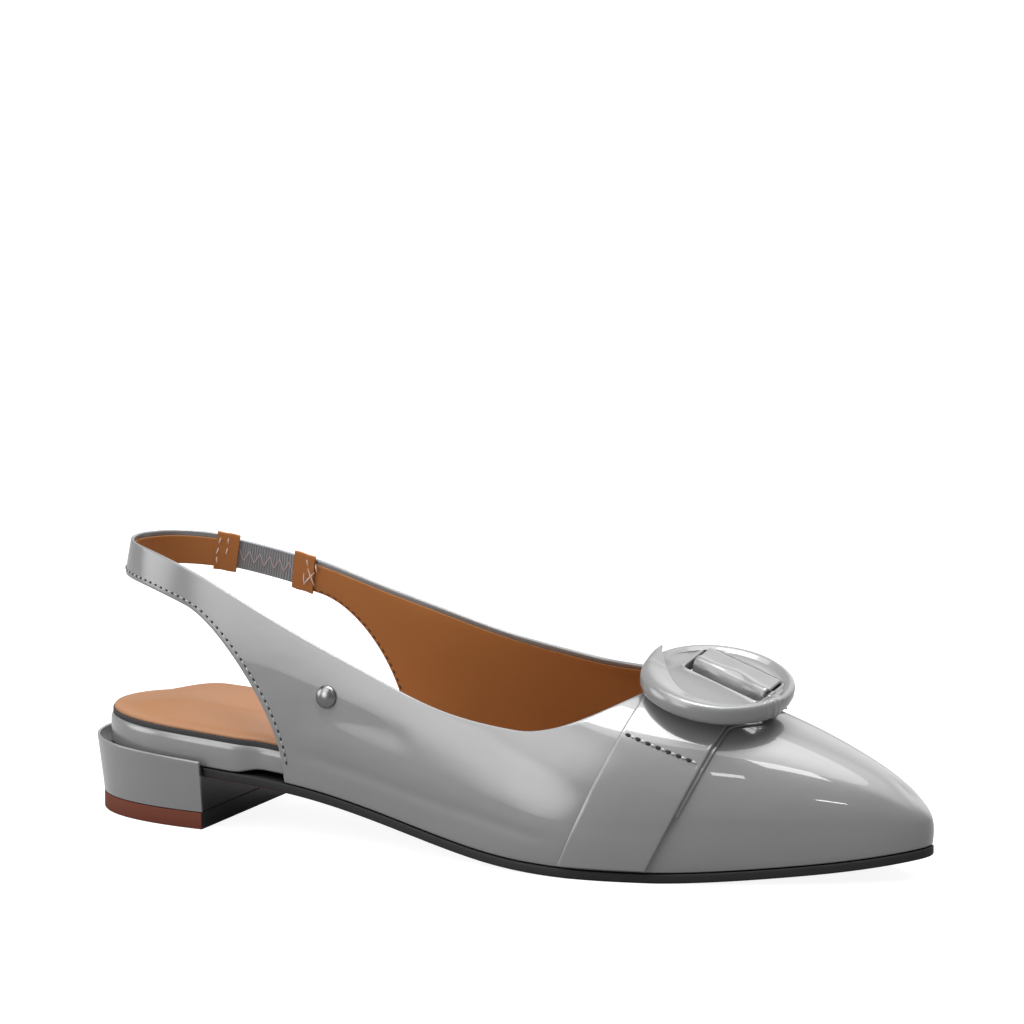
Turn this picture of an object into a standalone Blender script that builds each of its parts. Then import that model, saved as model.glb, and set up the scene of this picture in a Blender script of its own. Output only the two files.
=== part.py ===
"""A woman's sling back flat with a pointed toe, one right shoe, standing empty on its sole.

The shoe is drawn over one last. A closed row of sections runs from the toe tip down the lateral
side, round the heel and back along the medial side. Each section is a rib: it rises from the sole
line to the ridge of the last as one Bezier curve. The wall, the strap, the band and every insole
layer are pieces of that one surface.

Metres. +X points to the toe, +Y to the medial side and +Z up. The origin is the centre of the
heel's tread on the ground.
"""
import bpy
import bmesh
import numpy as np

# Driving sizes of the shoe
LENGTH = 0.262          # heel back to toe tip, along the sole line
BALL_WIDTH = 0.078      # across the sole line at the widest place
CONE_HEIGHT = 0.120     # ground to the top of the last's cone
HEEL_SEAT = 0.0203      # ground to the sole line at the heel back
TOE_SPRING = 0.0067     # rise of the sole under the toe tip
BACK_HEIGHT = 0.0805    # ground to the top edge of the strap at the back
SOLE_THICK = 0.0030     # outsole
WALL_THICK = 0.0015     # upper with its lining
STRAP_WIDTH = 0.0104    # sling strap at the back
FLANGE = 0.0070         # upper turned in under the insole board
HEEL_LENGTH = 0.0440    # heel back to heel breast
LIFT_THICK = 0.0050     # top lift
CLEAR = 0.0003          # gap between pieces that meet
BOARD_THICK = 0.0095    # wrapped insole board where it shows at the heel
BOARD_THIN = 0.0030     # insole board inside the closed fore part
SOCK_THICK = 0.0010     # insole sock at its margin
PAD_RISE = 0.0024       # crown of the padded heel above the sock's margin

# Sections of the last, toe tip to heel back. The columns are shares:
# foot_x, ridge_x of LENGTH; lateral, medial, lean of BALL_WIDTH; ridge_z of CONE_HEIGHT;
# rise and reach of the rib's own height and its own half width.
COLUMNS = ("foot_x", "lateral", "medial", "ridge_x", "ridge_z", "rise", "lean", "reach")
SECTIONS = {
    "tip":   (1.000, 0.045, 0.045, 0.962, 0.210, 0.62, 0.019, 0.80),
    "toe1":  (0.985, -0.049, 0.135, 0.950, 0.233, 0.62, 0.019, 0.78),
    "toe2":  (0.940, -0.158, 0.224, 0.922, 0.271, 0.64, 0.023, 0.70),
    "toe3":  (0.870, -0.274, 0.327, 0.865, 0.328, 0.66, 0.028, 0.62),
    "toe4":  (0.780, -0.401, 0.429, 0.780, 0.392, 0.66, 0.033, 0.58),
    "ball":  (0.680, -0.496, 0.500, 0.680, 0.444, 0.64, 0.038, 0.56),
    "joint": (0.580, -0.499, 0.487, 0.590, 0.498, 0.60, 0.038, 0.56),
    "waist": (0.470, -0.427, 0.404, 0.495, 0.595, 0.55, 0.038, 0.60),
    "arch":  (0.360, -0.362, 0.359, 0.410, 0.733, 0.50, 0.038, 0.62),
    "shank": (0.250, -0.336, 0.365, 0.340, 0.867, 0.45, 0.026, 0.64),
    "seat":  (0.140, -0.321, 0.385, 0.270, 0.950, 0.40, 0.000, 0.68),
    "heel1": (0.060, -0.251, 0.333, 0.215, 0.983, 0.36, -0.038, 0.78),
    "heel2": (0.015, -0.122, 0.212, 0.180, 1.000, 0.36, -0.077, 0.92),
    "back":  (0.000, 0.045, 0.045, 0.165, 1.000, 0.36, -0.090, 1.00),
}
ROWS = len(SECTIONS)
BACK_ROW = ROWS - 1
LOOP = 2 * BACK_ROW
# Ridge line seen from above: share of LENGTH, share of BALL_WIDTH
RIDGE_PLAN = ((0.00, 0.032), (0.25, 0.019), (0.60, 0.000), (1.00, 0.051))

# Sole line seen from the side: x share of LENGTH, share of the heel's rise, share of TOE_SPRING
SOLE_LINE = (
    (0.00, 1.000, 0.00), (0.10, 0.960, 0.00), (0.20, 0.879, 0.00), (0.30, 0.728, 0.00),
    (0.42, 0.393, 0.00), (0.55, 0.069, 0.00), (0.64, 0.000, 0.00), (0.74, 0.000, 0.00),
    (0.86, 0.000, 0.30), (0.94, 0.000, 0.64), (1.00, 0.000, 1.00),
)
# Top edge seen from the side: x share of LENGTH, lateral and medial shares of BACK_HEIGHT
TOP_EDGE = (
    (0.00, 1.000, 1.000), (0.08, 0.995, 0.982), (0.15, 0.966, 0.942), (0.23, 0.868, 0.892),
    (0.305, 0.757, 0.819), (0.38, 0.648, 0.753), (0.458, 0.551, 0.687), (0.534, 0.507, 0.646),
    (0.61, 0.494, 0.619), (0.72, 0.503, 0.609),
)
# Behind the first share of LENGTH both sides have one height; they part over the second share
SHARED_BACK = (0.035, 0.080)
RIDGE_ENDS = 0.5        # the ridge's slope is held over this many rows at its ends
STEEPEST = -3.0         # steepest fall of the ridge that a rib follows
THROAT_ROW = 4.80       # row where the throat crosses the ridge
THROAT_SWEEP = 1.40     # rows over which the throat runs down into the top edge
# Where each quarter's rear edge meets the sole line, and the rows over which it joins the strap
QUARTER_X = {-1: 0.265, 1: 0.308}
QUARTER_SWEEP = {-1: 2.20, 1: 1.25}
# Elastic in the medial run of the strap: its two ends, shares of LENGTH
GORE_X = (0.114, 0.184)
GORE_THICK = 0.0010
GORE_INSET = 0.0008     # the elastic is this much narrower than the strap at each edge

# Band across the vamp: rows of its two edges at the sole line and at the ridge
BAND_REAR = (5.38, 4.74)
BAND_FRONT = (4.47, 3.83)
BAND_THICK = 0.0012
BAND_SWING = 2.6        # power with which the band's edges turn from foot to ridge
# The band narrows to the buckle's window between these places across the buckle
BAND_GATHER = (0.0040, 0.0130, 0.0250)
GATHER_STEPS = 2        # times the band's rows are moved towards their place on the last

# Round covered buckle on the band
BUCKLE_RADIUS = 0.0222
BUCKLE_THICK = 0.0042
BUCKLE_ROW = 4.185      # row whose ridge point the buckle sits over
BUCKLE_OFFSET = (0.0, -0.0061, 0.0045)  # from that point to the buckle's centre
BUCKLE_TILT = (0.186, -0.196)   # x and y parts of its upright axis
BUCKLE_TURN = np.radians(-16.0)  # the window's turn about that axis, from along the shoe
# Half section of the disc: shares of its radius and of half its thickness, foot to dished top
BUCKLE_PROFILE = (
    (0.00, -1.0), (0.45, -1.0), (0.92, -1.0), (0.985, -0.62), (1.00, 0.00), (0.975, 0.55),
    (0.92, 0.90), (0.85, 1.00), (0.77, 0.86), (0.72, 0.66), (0.35, 0.62), (0.00, 0.62),
)
BUCKLE_SIDES = 48
BAR_SHOULDER = 0.3      # share of each window over which the bar's pocket reaches
WINDOW_LENGTH = 0.0270
WINDOW_NEAR = -0.0025   # the window's edges and the bar's, across the buckle
BAR_NEAR = 0.0035
BAR_FAR = 0.0075
WINDOW_FAR = 0.0138
BAR_TOP = 0.0008        # above the buckle's middle plane

STUD_RADIUS = 0.0034
STUD_HEIGHT = 0.0016
STUD_ROW = 8.35
STUD_SHARE = 0.24

HEEL_PROUD = 0.0010     # heel cover outside the board, past the clearance
HEEL_RIM = 0.0015       # rim of the heel cover up the board's side
HEEL_TAPER = 0.0012     # heel narrower at the ground
SOLE_PROUD = 0.0003     # sole edge outside the upper
SEAT_CUT = (1.2, 4.0)   # the seat's cutter: shares of the heel's length and of its rim
TUCK_START = 0.0170     # the board draws in between these distances behind the quarter
TUCK_END = 0.0080
TOE_ROOM = (0.88, 0.12)  # the layers' toe room starts here and grows over this, shares of LENGTH
BOARD_TOE_ROOM = 0.0036  # room that the layers leave at the toe tip
SOCK_TOE_ROOM = 0.0058
TOE_END = 0.0040        # width of the layers' square front end
BOARD_THINS = (0.24, 0.36)  # the board gets thin from here over this, shares of LENGTH
SOCK_MARGIN = 0.0010    # board showing round the sock
PAD_SIDE = (0.135, 0.385)   # the pad rises from here over this, shares of the half width
PAD_BACK = (0.035, 0.075)   # the same along the shoe, shares of LENGTH
PAD_FRONT = (0.26, 0.16)    # and where it falls again
FLANGE_AIM = 0.022      # in the toe the flange turns in towards a place this far behind the tip
RIB_STEPS = 241         # samples along a rib where an edge is looked up
LOOK_ROWS = 400         # samples along the rows where a place is looked up
NEAR_ROW = 1e-3         # small step along the rows, for slopes
HEEL_ROW = 11           # behind this row the rows lie closer together round the heel

PATENT = (0.27, 0.27, 0.28)
ELASTIC = (0.22, 0.22, 0.23)
SOLE = (0.10, 0.05, 0.04)
TAN = (0.62, 0.38, 0.22)
LIFT = (0.20, 0.06, 0.04)
METAL = (0.35, 0.34, 0.33)
HIDDEN = (1.0, 0.0, 0.0)


def loop(column):
    """One column of the sections as a closed loop: down the lateral rows, back up the medial."""
    values = [row[COLUMNS.index(column)] for row in SECTIONS.values()]
    return np.array(values + values[-2:0:-1])


def outline_loop():
    """Side shares of the sole line: lateral column on the way back, medial on the way forward."""
    lateral = [row[COLUMNS.index("lateral")] for row in SECTIONS.values()]
    medial = [row[COLUMNS.index("medial")] for row in SECTIONS.values()]
    return np.array(lateral + medial[-2:0:-1])


def closed_curve(values, rows):
    """Periodic cubic spline through one value a row; each slope solves m[i-1]+4m[i]+m[i+1]."""
    count = len(values)
    index = np.arange(count)
    matrix = np.zeros((count, count))
    matrix[index, index] = 4
    matrix[index, (index + 1) % count] = 1
    matrix[index, (index - 1) % count] = 1
    slopes = np.linalg.solve(matrix, 3 * (np.roll(values, -1) - np.roll(values, 1)))
    rows = np.asarray(rows, float) % count
    here = np.floor(rows).astype(int) % count
    after = (here + 1) % count
    t = rows - np.floor(rows)
    return ((2 * t**3 - 3 * t**2 + 1) * values[here] + (t**3 - 2 * t**2 + t) * slopes[here]
            + (3 * t**2 - 2 * t**3) * values[after] + (t**3 - t**2) * slopes[after])


def open_curve(places, values, x):
    """Natural cubic spline through (place, value), held level outside its ends."""
    places, values = np.asarray(places, float), np.asarray(values, float)
    count = len(places)
    step = np.diff(places)
    matrix, right = np.eye(count), np.zeros(count)
    for i in range(1, count - 1):
        matrix[i, i - 1:i + 2] = step[i - 1], 2 * (step[i - 1] + step[i]), step[i]
        right[i] = 6 * ((values[i + 1] - values[i]) / step[i]
                        - (values[i] - values[i - 1]) / step[i - 1])
    bend = np.linalg.solve(matrix, right)
    x = np.clip(x, places[0], places[-1])
    i = np.clip(np.searchsorted(places, x) - 1, 0, count - 2)
    left, ahead, h = x - places[i], places[i + 1] - x, step[i]
    return ((bend[i] * ahead**3 + bend[i + 1] * left**3) / (6 * h)
            + (values[i] / h - bend[i] * h / 6) * ahead
            + (values[i + 1] / h - bend[i + 1] * h / 6) * left)


def ease(t):
    """Smooth step from 0 to 1: 3t2 - 2t3."""
    t = np.clip(t, 0, 1)
    return t * t * (3 - 2 * t)


def sole_line(x):
    """Height of the sole line at x. It is never under the outsole, so the ball stands flat."""
    places = [row[0] * LENGTH for row in SOLE_LINE]
    rise = [row[1] * (HEEL_SEAT - SOLE_THICK) + row[2] * TOE_SPRING for row in SOLE_LINE]
    return SOLE_THICK + np.maximum(open_curve(places, rise, x), 0)


def top_edge(side, x):
    """Height of the top edge at x, in side view. Both sides share one height round the back."""
    places = [row[0] * LENGTH for row in TOP_EDGE]
    lateral, medial = (open_curve(places, [row[column] * BACK_HEIGHT for row in TOP_EDGE], x)
                       for column in (1, 2))
    shared = (lateral + medial) / 2
    own = lateral if side < 0 else medial
    return shared + (own - shared) * ease((x / LENGTH - SHARED_BACK[0]) / SHARED_BACK[1])


def foot_line(rows, outward=0.0):
    """Points of the sole line at rows, moved outward in plan by a distance."""
    x_loop = loop("foot_x") * LENGTH
    y_loop = outline_loop() * BALL_WIDTH
    x, y = closed_curve(x_loop, rows), closed_curve(y_loop, rows)
    along_x = closed_curve(x_loop, rows + NEAR_ROW) - closed_curve(x_loop, rows - NEAR_ROW)
    along_y = closed_curve(y_loop, rows + NEAR_ROW) - closed_curve(y_loop, rows - NEAR_ROW)
    size = np.hypot(along_x, along_y)
    out_x, out_y = -along_y / size, along_x / size
    return x + out_x * outward, y + out_y * outward, out_x, out_y


def last_point(rows, share):
    """Point on the last: a cubic Bezier rib from the sole line (0) to the ridge (1).

    P1 = P0 + lean outward + rise of the height, P2 = P3 + reach of the way back to the foot,
    sloped as the ridge slopes there.
    """
    rows, share = np.broadcast_arrays(np.asarray(rows, float), np.asarray(share, float))
    foot_x, foot_y, out_x, out_y = foot_line(rows)
    foot_z = sole_line(foot_x)
    ridge_x = closed_curve(loop("ridge_x") * LENGTH, rows)
    ridge_z = closed_curve(loop("ridge_z") * CONE_HEIGHT, rows)
    ridge_y = np.interp(ridge_x / LENGTH, *np.array(RIDGE_PLAN).T) * BALL_WIDTH
    rise, lean, reach = (closed_curve(loop(name), rows) for name in ("rise", "lean", "reach"))
    near = np.where(rows < BACK_ROW, rows, LOOP - rows)
    near = np.clip(near, RIDGE_ENDS, BACK_ROW - RIDGE_ENDS)
    small = 1e-2
    run = closed_curve(loop("ridge_x"), near + small) - closed_curve(loop("ridge_x"), near - small)
    drop = closed_curve(loop("ridge_z"), near + small) - closed_curve(loop("ridge_z"), near - small)
    level = np.abs(run) < 1e-9
    slope = np.where(level, 0, drop * CONE_HEIGHT / (np.where(level, 1, run) * LENGTH))
    slope = np.clip(slope, STEEPEST, 0)
    back_x, back_y = foot_x - ridge_x, foot_y - ridge_y
    p0 = np.stack([foot_x, foot_y, foot_z], -1)
    p3 = np.stack([ridge_x, ridge_y, ridge_z], -1)
    p1 = p0 + np.stack([out_x * lean * BALL_WIDTH, out_y * lean * BALL_WIDTH,
                        rise * (ridge_z - foot_z)], -1)
    p2 = p3 + np.stack([reach * back_x, reach * back_y, slope * reach * back_x], -1)
    t = share[..., None]
    return (1 - t)**3 * p0 + 3 * (1 - t)**2 * t * p1 + 3 * (1 - t) * t**2 * p2 + t**3 * p3


def unit(vectors):
    return vectors / np.linalg.norm(vectors, axis=-1, keepdims=True)


def outward(rows, share):
    """Unit normal of the last, from its slopes up the rib and along the rows."""
    low, high = np.clip(share - NEAR_ROW, 0, 1), np.clip(share + NEAR_ROW, 0, 1)
    up = last_point(rows, high) - last_point(rows, low)
    along = last_point(rows + NEAR_ROW, share) - last_point(rows - NEAR_ROW, share)
    return unit(np.cross(up, along))


def on_side(side, rows):
    """Loop row of a row counted from the toe tip on one side: -1 lateral, 1 medial."""
    return rows if side < 0 else LOOP - rows


def crossing(side, rows, line):
    """Share of each rib at which it first rises through a line drawn in side view."""
    share = np.linspace(0, 1, RIB_STEPS)
    ribs = last_point(on_side(side, rows)[:, None], share[None, :])
    over = ribs[..., 2] - line(ribs[..., 0])
    first = np.clip(np.argmax(over > 0, axis=1), 1, None)
    pick = np.arange(len(rows))
    under, past = over[pick, first - 1], over[pick, first]
    return share[first - 1] + under / (under - past) * share[1]


def arc_fall(t):
    """Quarter ellipse that falls from 1 at t=0 to 0 at t=1, steep first."""
    return 1 - np.sqrt(np.clip(1 - (1 - np.clip(t, 0, 1))**2, 0, 1))


def top_share(side, rows):
    """Share of each rib at the wall's top edge: the side view line, swept up at the throat."""
    edge = crossing(side, rows, lambda x: top_edge(side, x))
    sweep = arc_fall((rows - THROAT_ROW) / THROAT_SWEEP)
    return np.where(rows <= THROAT_ROW, 1.0, edge + (1 - edge) * sweep)


def quarter_row(side):
    """Row at which the quarter's rear edge meets the sole line."""
    rows = np.linspace(THROAT_ROW, BACK_ROW, LOOK_ROWS)
    x = foot_line(on_side(side, rows))[0]
    return np.interp(-QUARTER_X[side] * LENGTH, -x, rows)


def low_share(side, rows):
    """Share of each rib at the wall's lower edge: 0 in front, then up to the strap's lower edge."""
    strap = crossing(side, rows, lambda x: top_edge(side, x) - STRAP_WIDTH)
    rise = 1 - arc_fall((rows - quarter_row(side)) / QUARTER_SWEEP[side])
    return np.where(rows <= quarter_row(side), 0.0, strap * rise)


def strap_row(side, x_share):
    """Row whose top edge lies at x."""
    rows = np.linspace(quarter_row(side), BACK_ROW, LOOK_ROWS)
    x = last_point(on_side(side, rows), top_share(side, rows))[:, 0]
    return np.interp(-x_share * LENGTH, -x, rows)


def even_then_eased(start, middle, steps):
    """Rows from start to middle, closer together near start, where an edge turns quickly."""
    return start + (middle - start) * np.linspace(0, 1, steps + 1)**2


def side_rows(side):
    """Rows of one side of the upper: in front of the quarter's rear edge, and behind it."""
    corner = quarter_row(side)
    joined = corner + QUARTER_SWEEP[side]
    throat_end = THROAT_ROW + THROAT_SWEEP
    front = np.concatenate([np.linspace(0, THROAT_ROW, 17)[:-1],
                            even_then_eased(THROAT_ROW, throat_end, 9)[:-1],
                            np.linspace(throat_end, corner, 8)])
    rear = np.concatenate([even_then_eased(corner, joined, 9)[:-1],
                           np.linspace(joined, BACK_ROW, 9)])
    return front, rear


def make_object(name, mesh_data, colour, roughness, metallic=0.0, smooth_angle=35.0):
    """One named object with its own material."""
    mesh = bpy.data.meshes.new(name)
    mesh_data.to_mesh(mesh)
    mesh_data.free()
    item = bpy.data.objects.new(name, mesh)
    bpy.context.scene.collection.objects.link(item)
    material = bpy.data.materials.new(name + "_finish")
    material.use_nodes = True
    shader = material.node_tree.nodes["Principled BSDF"]
    shader.inputs["Base Color"].default_value = (*colour, 1)
    shader.inputs["Roughness"].default_value = roughness
    shader.inputs["Metallic"].default_value = metallic
    mesh.materials.append(material)
    mesh.shade_smooth()
    mesh.set_sharp_from_angle(angle=np.radians(smooth_angle))
    return item


def joined_grids(grids):
    """One surface of quads from point grids that share their edges."""
    data = bmesh.new()
    for grid in grids:
        rows, columns = grid.shape[:2]
        points = [data.verts.new(point - ORIGIN) for point in grid.reshape(-1, 3)]
        for i in range(rows - 1):
            for j in range(columns - 1):
                a = i * columns + j
                data.faces.new([points[a], points[a + 1],
                                points[a + columns + 1], points[a + columns]])
    bmesh.ops.remove_doubles(data, verts=data.verts, dist=1e-6)
    return data


def closed_grids(top, bottom):
    """A solid between two point grids of one size, with walls round their edges."""
    walls = [np.stack([top[0], bottom[0]]), np.stack([bottom[-1], top[-1]]),
             np.stack([bottom[:, 0], top[:, 0]]), np.stack([top[:, -1], bottom[:, -1]])]
    data = joined_grids([top, bottom[:, ::-1], *walls])
    bmesh.ops.recalc_face_normals(data, faces=data.faces)
    return data


def add_solidify(item, thickness, offset):
    wall = item.modifiers.new("wall", "SOLIDIFY")
    wall.thickness = thickness
    wall.offset = offset
    wall.use_even_offset = True
    wall.use_quality_normals = True


def layer(rows, inset, low, high, columns=3):
    """Grid pair of a flat layer: rows of points from the lateral to the medial outline.

    inset(x, side) draws the outline in, low(x, s) and high(x, s) give its heights, where s runs
    from 0 at the lateral edge to 1 at the medial edge.
    """
    edges = []
    for side in (-1, 1):
        loop_rows = on_side(side, rows)
        x = foot_line(loop_rows)[0]
        edges.append(np.stack(foot_line(loop_rows, -inset(x, side))[:2], -1))
    s = np.linspace(0, 1, columns)[None, :, None]
    plan = edges[0][:, None] * (1 - s) + edges[1][:, None] * s
    x, s = plan[..., 0], np.broadcast_to(s[..., 0], plan.shape[:2])
    top = np.dstack([plan, high(x, s)])
    bottom = np.dstack([plan, low(x, s)])
    return top, bottom


def row_at(x_share, side=-1):
    """Row whose foot lies at x."""
    rows = np.linspace(0, BACK_ROW, LOOK_ROWS)
    return np.interp(-x_share * LENGTH, -foot_line(on_side(side, rows))[0], rows)


def inner_inset(x, side, extra=0.0, toe_room=0.0):
    """Inset of a layer: flush at the open heel, inside the wall from the quarter forward.

    toe_room is added at the tip, where the wall leans in over the layer.
    """
    start = QUARTER_X[side] * LENGTH
    extra = extra + toe_room * ease((x / LENGTH - TOE_ROOM[0]) / TOE_ROOM[1])
    inside = ease((x - start + TUCK_START) / (TUCK_START - TUCK_END))
    return extra + (WALL_THICK + CLEAR) * inside


def layer_rows(inset, steps):
    """Rows of a layer inside the toe: from its square front end, where the two inset outlines
    are TOE_END apart, to the heel's back."""
    rows = np.linspace(0, HEEL_ROW, LOOK_ROWS)
    sides = []
    for side in (-1, 1):
        x = foot_line(on_side(side, rows))[0]
        sides.append(foot_line(on_side(side, rows), -inset(x, side))[1])
    narrow = np.flatnonzero(sides[1] - sides[0] < TOE_END)
    first = rows[narrow[-1] + 1] if narrow.size else rows[0]
    return np.concatenate([np.linspace(first, HEEL_ROW, steps)[:-1],
                           np.linspace(HEEL_ROW, BACK_ROW, 12)])


def board_low(x, s):
    """Underside of the board: on the heel seat, then above the turned-in flange."""
    start = min(QUARTER_X.values()) * LENGTH
    under = ease((x - start + TUCK_START) / (TUCK_START - TUCK_END))
    return sole_line(x) + (WALL_THICK + CLEAR) * under


def board_high(x, s):
    """Top of the board: full height at the heel, thin inside the closed fore part."""
    thin = ease((x / LENGTH - BOARD_THINS[0]) / BOARD_THINS[1])
    low = board_low(x, s)
    thick = BOARD_THICK + (BOARD_THIN - BOARD_THICK) * thin
    return low + thick - (low - sole_line(x)) * (1 - thin)


def sock_high(x, s):
    """Top of the sock: a thin margin and a crowned pad under the heel."""
    from_side = 1 - np.abs(2 * s - 1)
    across = ease((from_side - PAD_SIDE[0]) / PAD_SIDE[1])
    behind = ease((x / LENGTH - PAD_BACK[0]) / PAD_BACK[1])
    ahead = ease((x / LENGTH - PAD_FRONT[0]) / PAD_FRONT[1])
    return board_high(x, s) + CLEAR + SOCK_THICK + PAD_RISE * across * behind * (1 - ahead)


def make_upper():
    """The hollow upper: vamp, quarters and sling strap as one wall, open at collar and sole."""
    shares = np.linspace(0, 1, 13)
    grids = []
    for side in (-1, 1):
        front, rear = side_rows(side)
        runs = [front]
        if side < 0:
            runs.append(rear)
        else:
            gore_rear, gore_front = (strap_row(side, x) for x in GORE_X)
            runs.append(np.append(rear[rear < gore_front - 0.1], gore_front))
            runs.append(np.linspace(gore_rear, BACK_ROW, 7))
        for rows in runs:
            low, top = low_share(side, rows), top_share(side, rows)
            heights = low[:, None] + (top - low)[:, None] * shares
            grids.append(last_point(on_side(side, rows)[:, None], heights))
        foot = last_point(on_side(side, front), 0)
        middle_x = np.minimum(foot[:, 0], LENGTH - FLANGE_AIM)
        middle = np.stack([middle_x, np.full_like(middle_x, SECTIONS["tip"][1] * BALL_WIDTH)], -1)
        way = middle - foot[:, :2]
        inner = foot[:, :2] + way * (FLANGE / np.linalg.norm(way, axis=1))[:, None]
        turned = np.column_stack([inner, sole_line(inner[:, 0])])
        grids.append(np.stack([turned, foot], 1))
    data = joined_grids(grids)
    bmesh.ops.recalc_face_normals(data, faces=data.faces)
    item = make_object("upper", data, PATENT, 0.12)
    add_solidify(item, WALL_THICK, -1)
    return item


def make_gore():
    """The elastic let into the medial run of the strap."""
    gore_rear, gore_front = (strap_row(1, x) for x in GORE_X)
    step = CLEAR / LENGTH
    rows = np.linspace(strap_row(1, GORE_X[1] - step), strap_row(1, GORE_X[0] + step), 8)
    narrow = GORE_INSET / STRAP_WIDTH
    low, top = low_share(1, rows), top_share(1, rows)
    shares = narrow + (1 - 2 * narrow) * np.linspace(0, 1, 4)
    heights = low[:, None] + (top - low)[:, None] * shares
    loop_rows = np.broadcast_to(on_side(1, rows)[:, None], heights.shape)
    sunk = (WALL_THICK - GORE_THICK) / 2
    outer = last_point(loop_rows, heights) - outward(loop_rows, heights) * sunk
    inner = outer - outward(loop_rows, heights) * GORE_THICK
    return make_object("elastic_gore", closed_grids(outer, inner), ELASTIC, 0.75)


def make_outsole():
    """The outsole from the heel breast to the toe, flat under the ball."""
    breast = row_at(HEEL_LENGTH / LENGTH + 2 * CLEAR / LENGTH)
    rows = np.concatenate([np.linspace(0, 1, 9)[:-1]**1.5, np.linspace(1, breast, 26)])
    top, bottom = layer(rows, lambda x, side: np.full_like(x, -SOLE_PROUD),
                        lambda x, s: sole_line(x) - SOLE_THICK, lambda x, s: sole_line(x) - CLEAR)
    return make_object("outsole", closed_grids(top, bottom), SOLE, 0.55)


def make_board():
    """The insole board with its wrapped edge, which shows as a rand round the heel."""
    def inset(x, side):
        return inner_inset(x, side, 0.0, BOARD_TOE_ROOM)
    top, bottom = layer(layer_rows(inset, 31), inset, board_low, board_high)
    return make_object("insole_board", closed_grids(top, bottom), PATENT, 0.15)


def make_sock():
    """The insole sock with its padded heel."""
    def inset(x, side):
        return inner_inset(x, side, SOCK_MARGIN, SOCK_TOE_ROOM)
    top, bottom = layer(layer_rows(inset, 29), inset, lambda x, s: board_high(x, s) + CLEAR,
                        sock_high, columns=11)
    return make_object("insole_sock", closed_grids(top, bottom), TAN, 0.6)


def heel_outline_layer(low_z, high_z, low_out, high_out):
    """Grid pair of the heel's D-shaped footprint between two heights, tapering outward."""
    rows = np.concatenate([np.linspace(row_at(HEEL_LENGTH / LENGTH), HEEL_ROW, 8)[:-1],
                           np.linspace(HEEL_ROW, BACK_ROW, 13)])
    s = np.linspace(0, 1, 3)[None, :, None]
    grids = []
    for height, out in ((high_z, high_out), (low_z, low_out)):
        edges = [np.stack(foot_line(on_side(side, rows), out)[:2], -1) for side in (-1, 1)]
        plan = edges[0][:, None] * (1 - s) + edges[1][:, None] * s
        plan[0, :, 0] = HEEL_LENGTH
        grids.append(np.dstack([plan, height(plan[..., 0])]))
    return grids


def make_heel_block():
    """The covered heel: a low D-shaped block with a rim that holds the board."""
    outer = CLEAR + HEEL_PROUD
    ground = LIFT_THICK + CLEAR
    top, bottom = heel_outline_layer(lambda x: np.full_like(x, ground),
                                     lambda x: sole_line(x) + HEEL_RIM, outer - HEEL_TAPER, outer)
    block = make_object("heel_block", closed_grids(top, bottom), PATENT, 0.15)
    reach = HEEL_LENGTH * SEAT_CUT[0]
    rows = np.concatenate([np.linspace(row_at(reach / LENGTH), HEEL_ROW, 9)[:-1],
                           np.linspace(HEEL_ROW, BACK_ROW, 13)])
    seat_top, seat_bottom = layer(rows, lambda x, side: np.full_like(x, -CLEAR),
                                  lambda x, s: sole_line(x) - CLEAR,
                                  lambda x, s: sole_line(x) + SEAT_CUT[1] * HEEL_RIM)
    cutter = make_object("heel_seat_cutter", closed_grids(seat_top, seat_bottom), HIDDEN, 0.5)
    cut(block, cutter)
    return block


def cut(item, cutter):
    """Subtract one hidden solid from an object."""
    cutter.hide_render = True
    cutter.display_type = "WIRE"
    change = item.modifiers.new(cutter.name, "BOOLEAN")
    change.operation = "DIFFERENCE"
    change.solver = "EXACT"
    change.object = cutter


def make_top_lift():
    """The top lift that the heel stands on."""
    outer = CLEAR + HEEL_PROUD - HEEL_TAPER
    top, bottom = heel_outline_layer(lambda x: np.zeros_like(x),
                                     lambda x: np.full_like(x, LIFT_THICK), outer, outer)
    return make_object("top_lift", closed_grids(top, bottom), LIFT, 0.5)


def buckle_frame():
    """Centre and axes of the buckle: lengthwise, crosswise and upright."""
    tilt_x, tilt_y = BUCKLE_TILT
    upright = np.array([tilt_x, tilt_y, np.sqrt(1 - tilt_x**2 - tilt_y**2)])
    level = unit(np.cross([0, 1, 0], upright))
    along = np.cos(BUCKLE_TURN) * level + np.sin(BUCKLE_TURN) * np.cross(upright, level)
    centre = last_point(BUCKLE_ROW, 1) + BUCKLE_OFFSET
    return centre, along, np.cross(upright, along), upright


def buckle_box(name, low, high):
    """A box given by two corners in the buckle's own axes."""
    centre, along, across, upright = buckle_frame()
    data = bmesh.new()
    bmesh.ops.create_cube(data, size=1)
    for vert in data.verts:
        share = np.array(vert.co) + 0.5
        place = np.array(low) + (np.array(high) - np.array(low)) * share
        vert.co = centre + place[0] * along + place[1] * across + place[2] * upright - ORIGIN
    return make_object(name, data, HIDDEN, 0.5)


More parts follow.
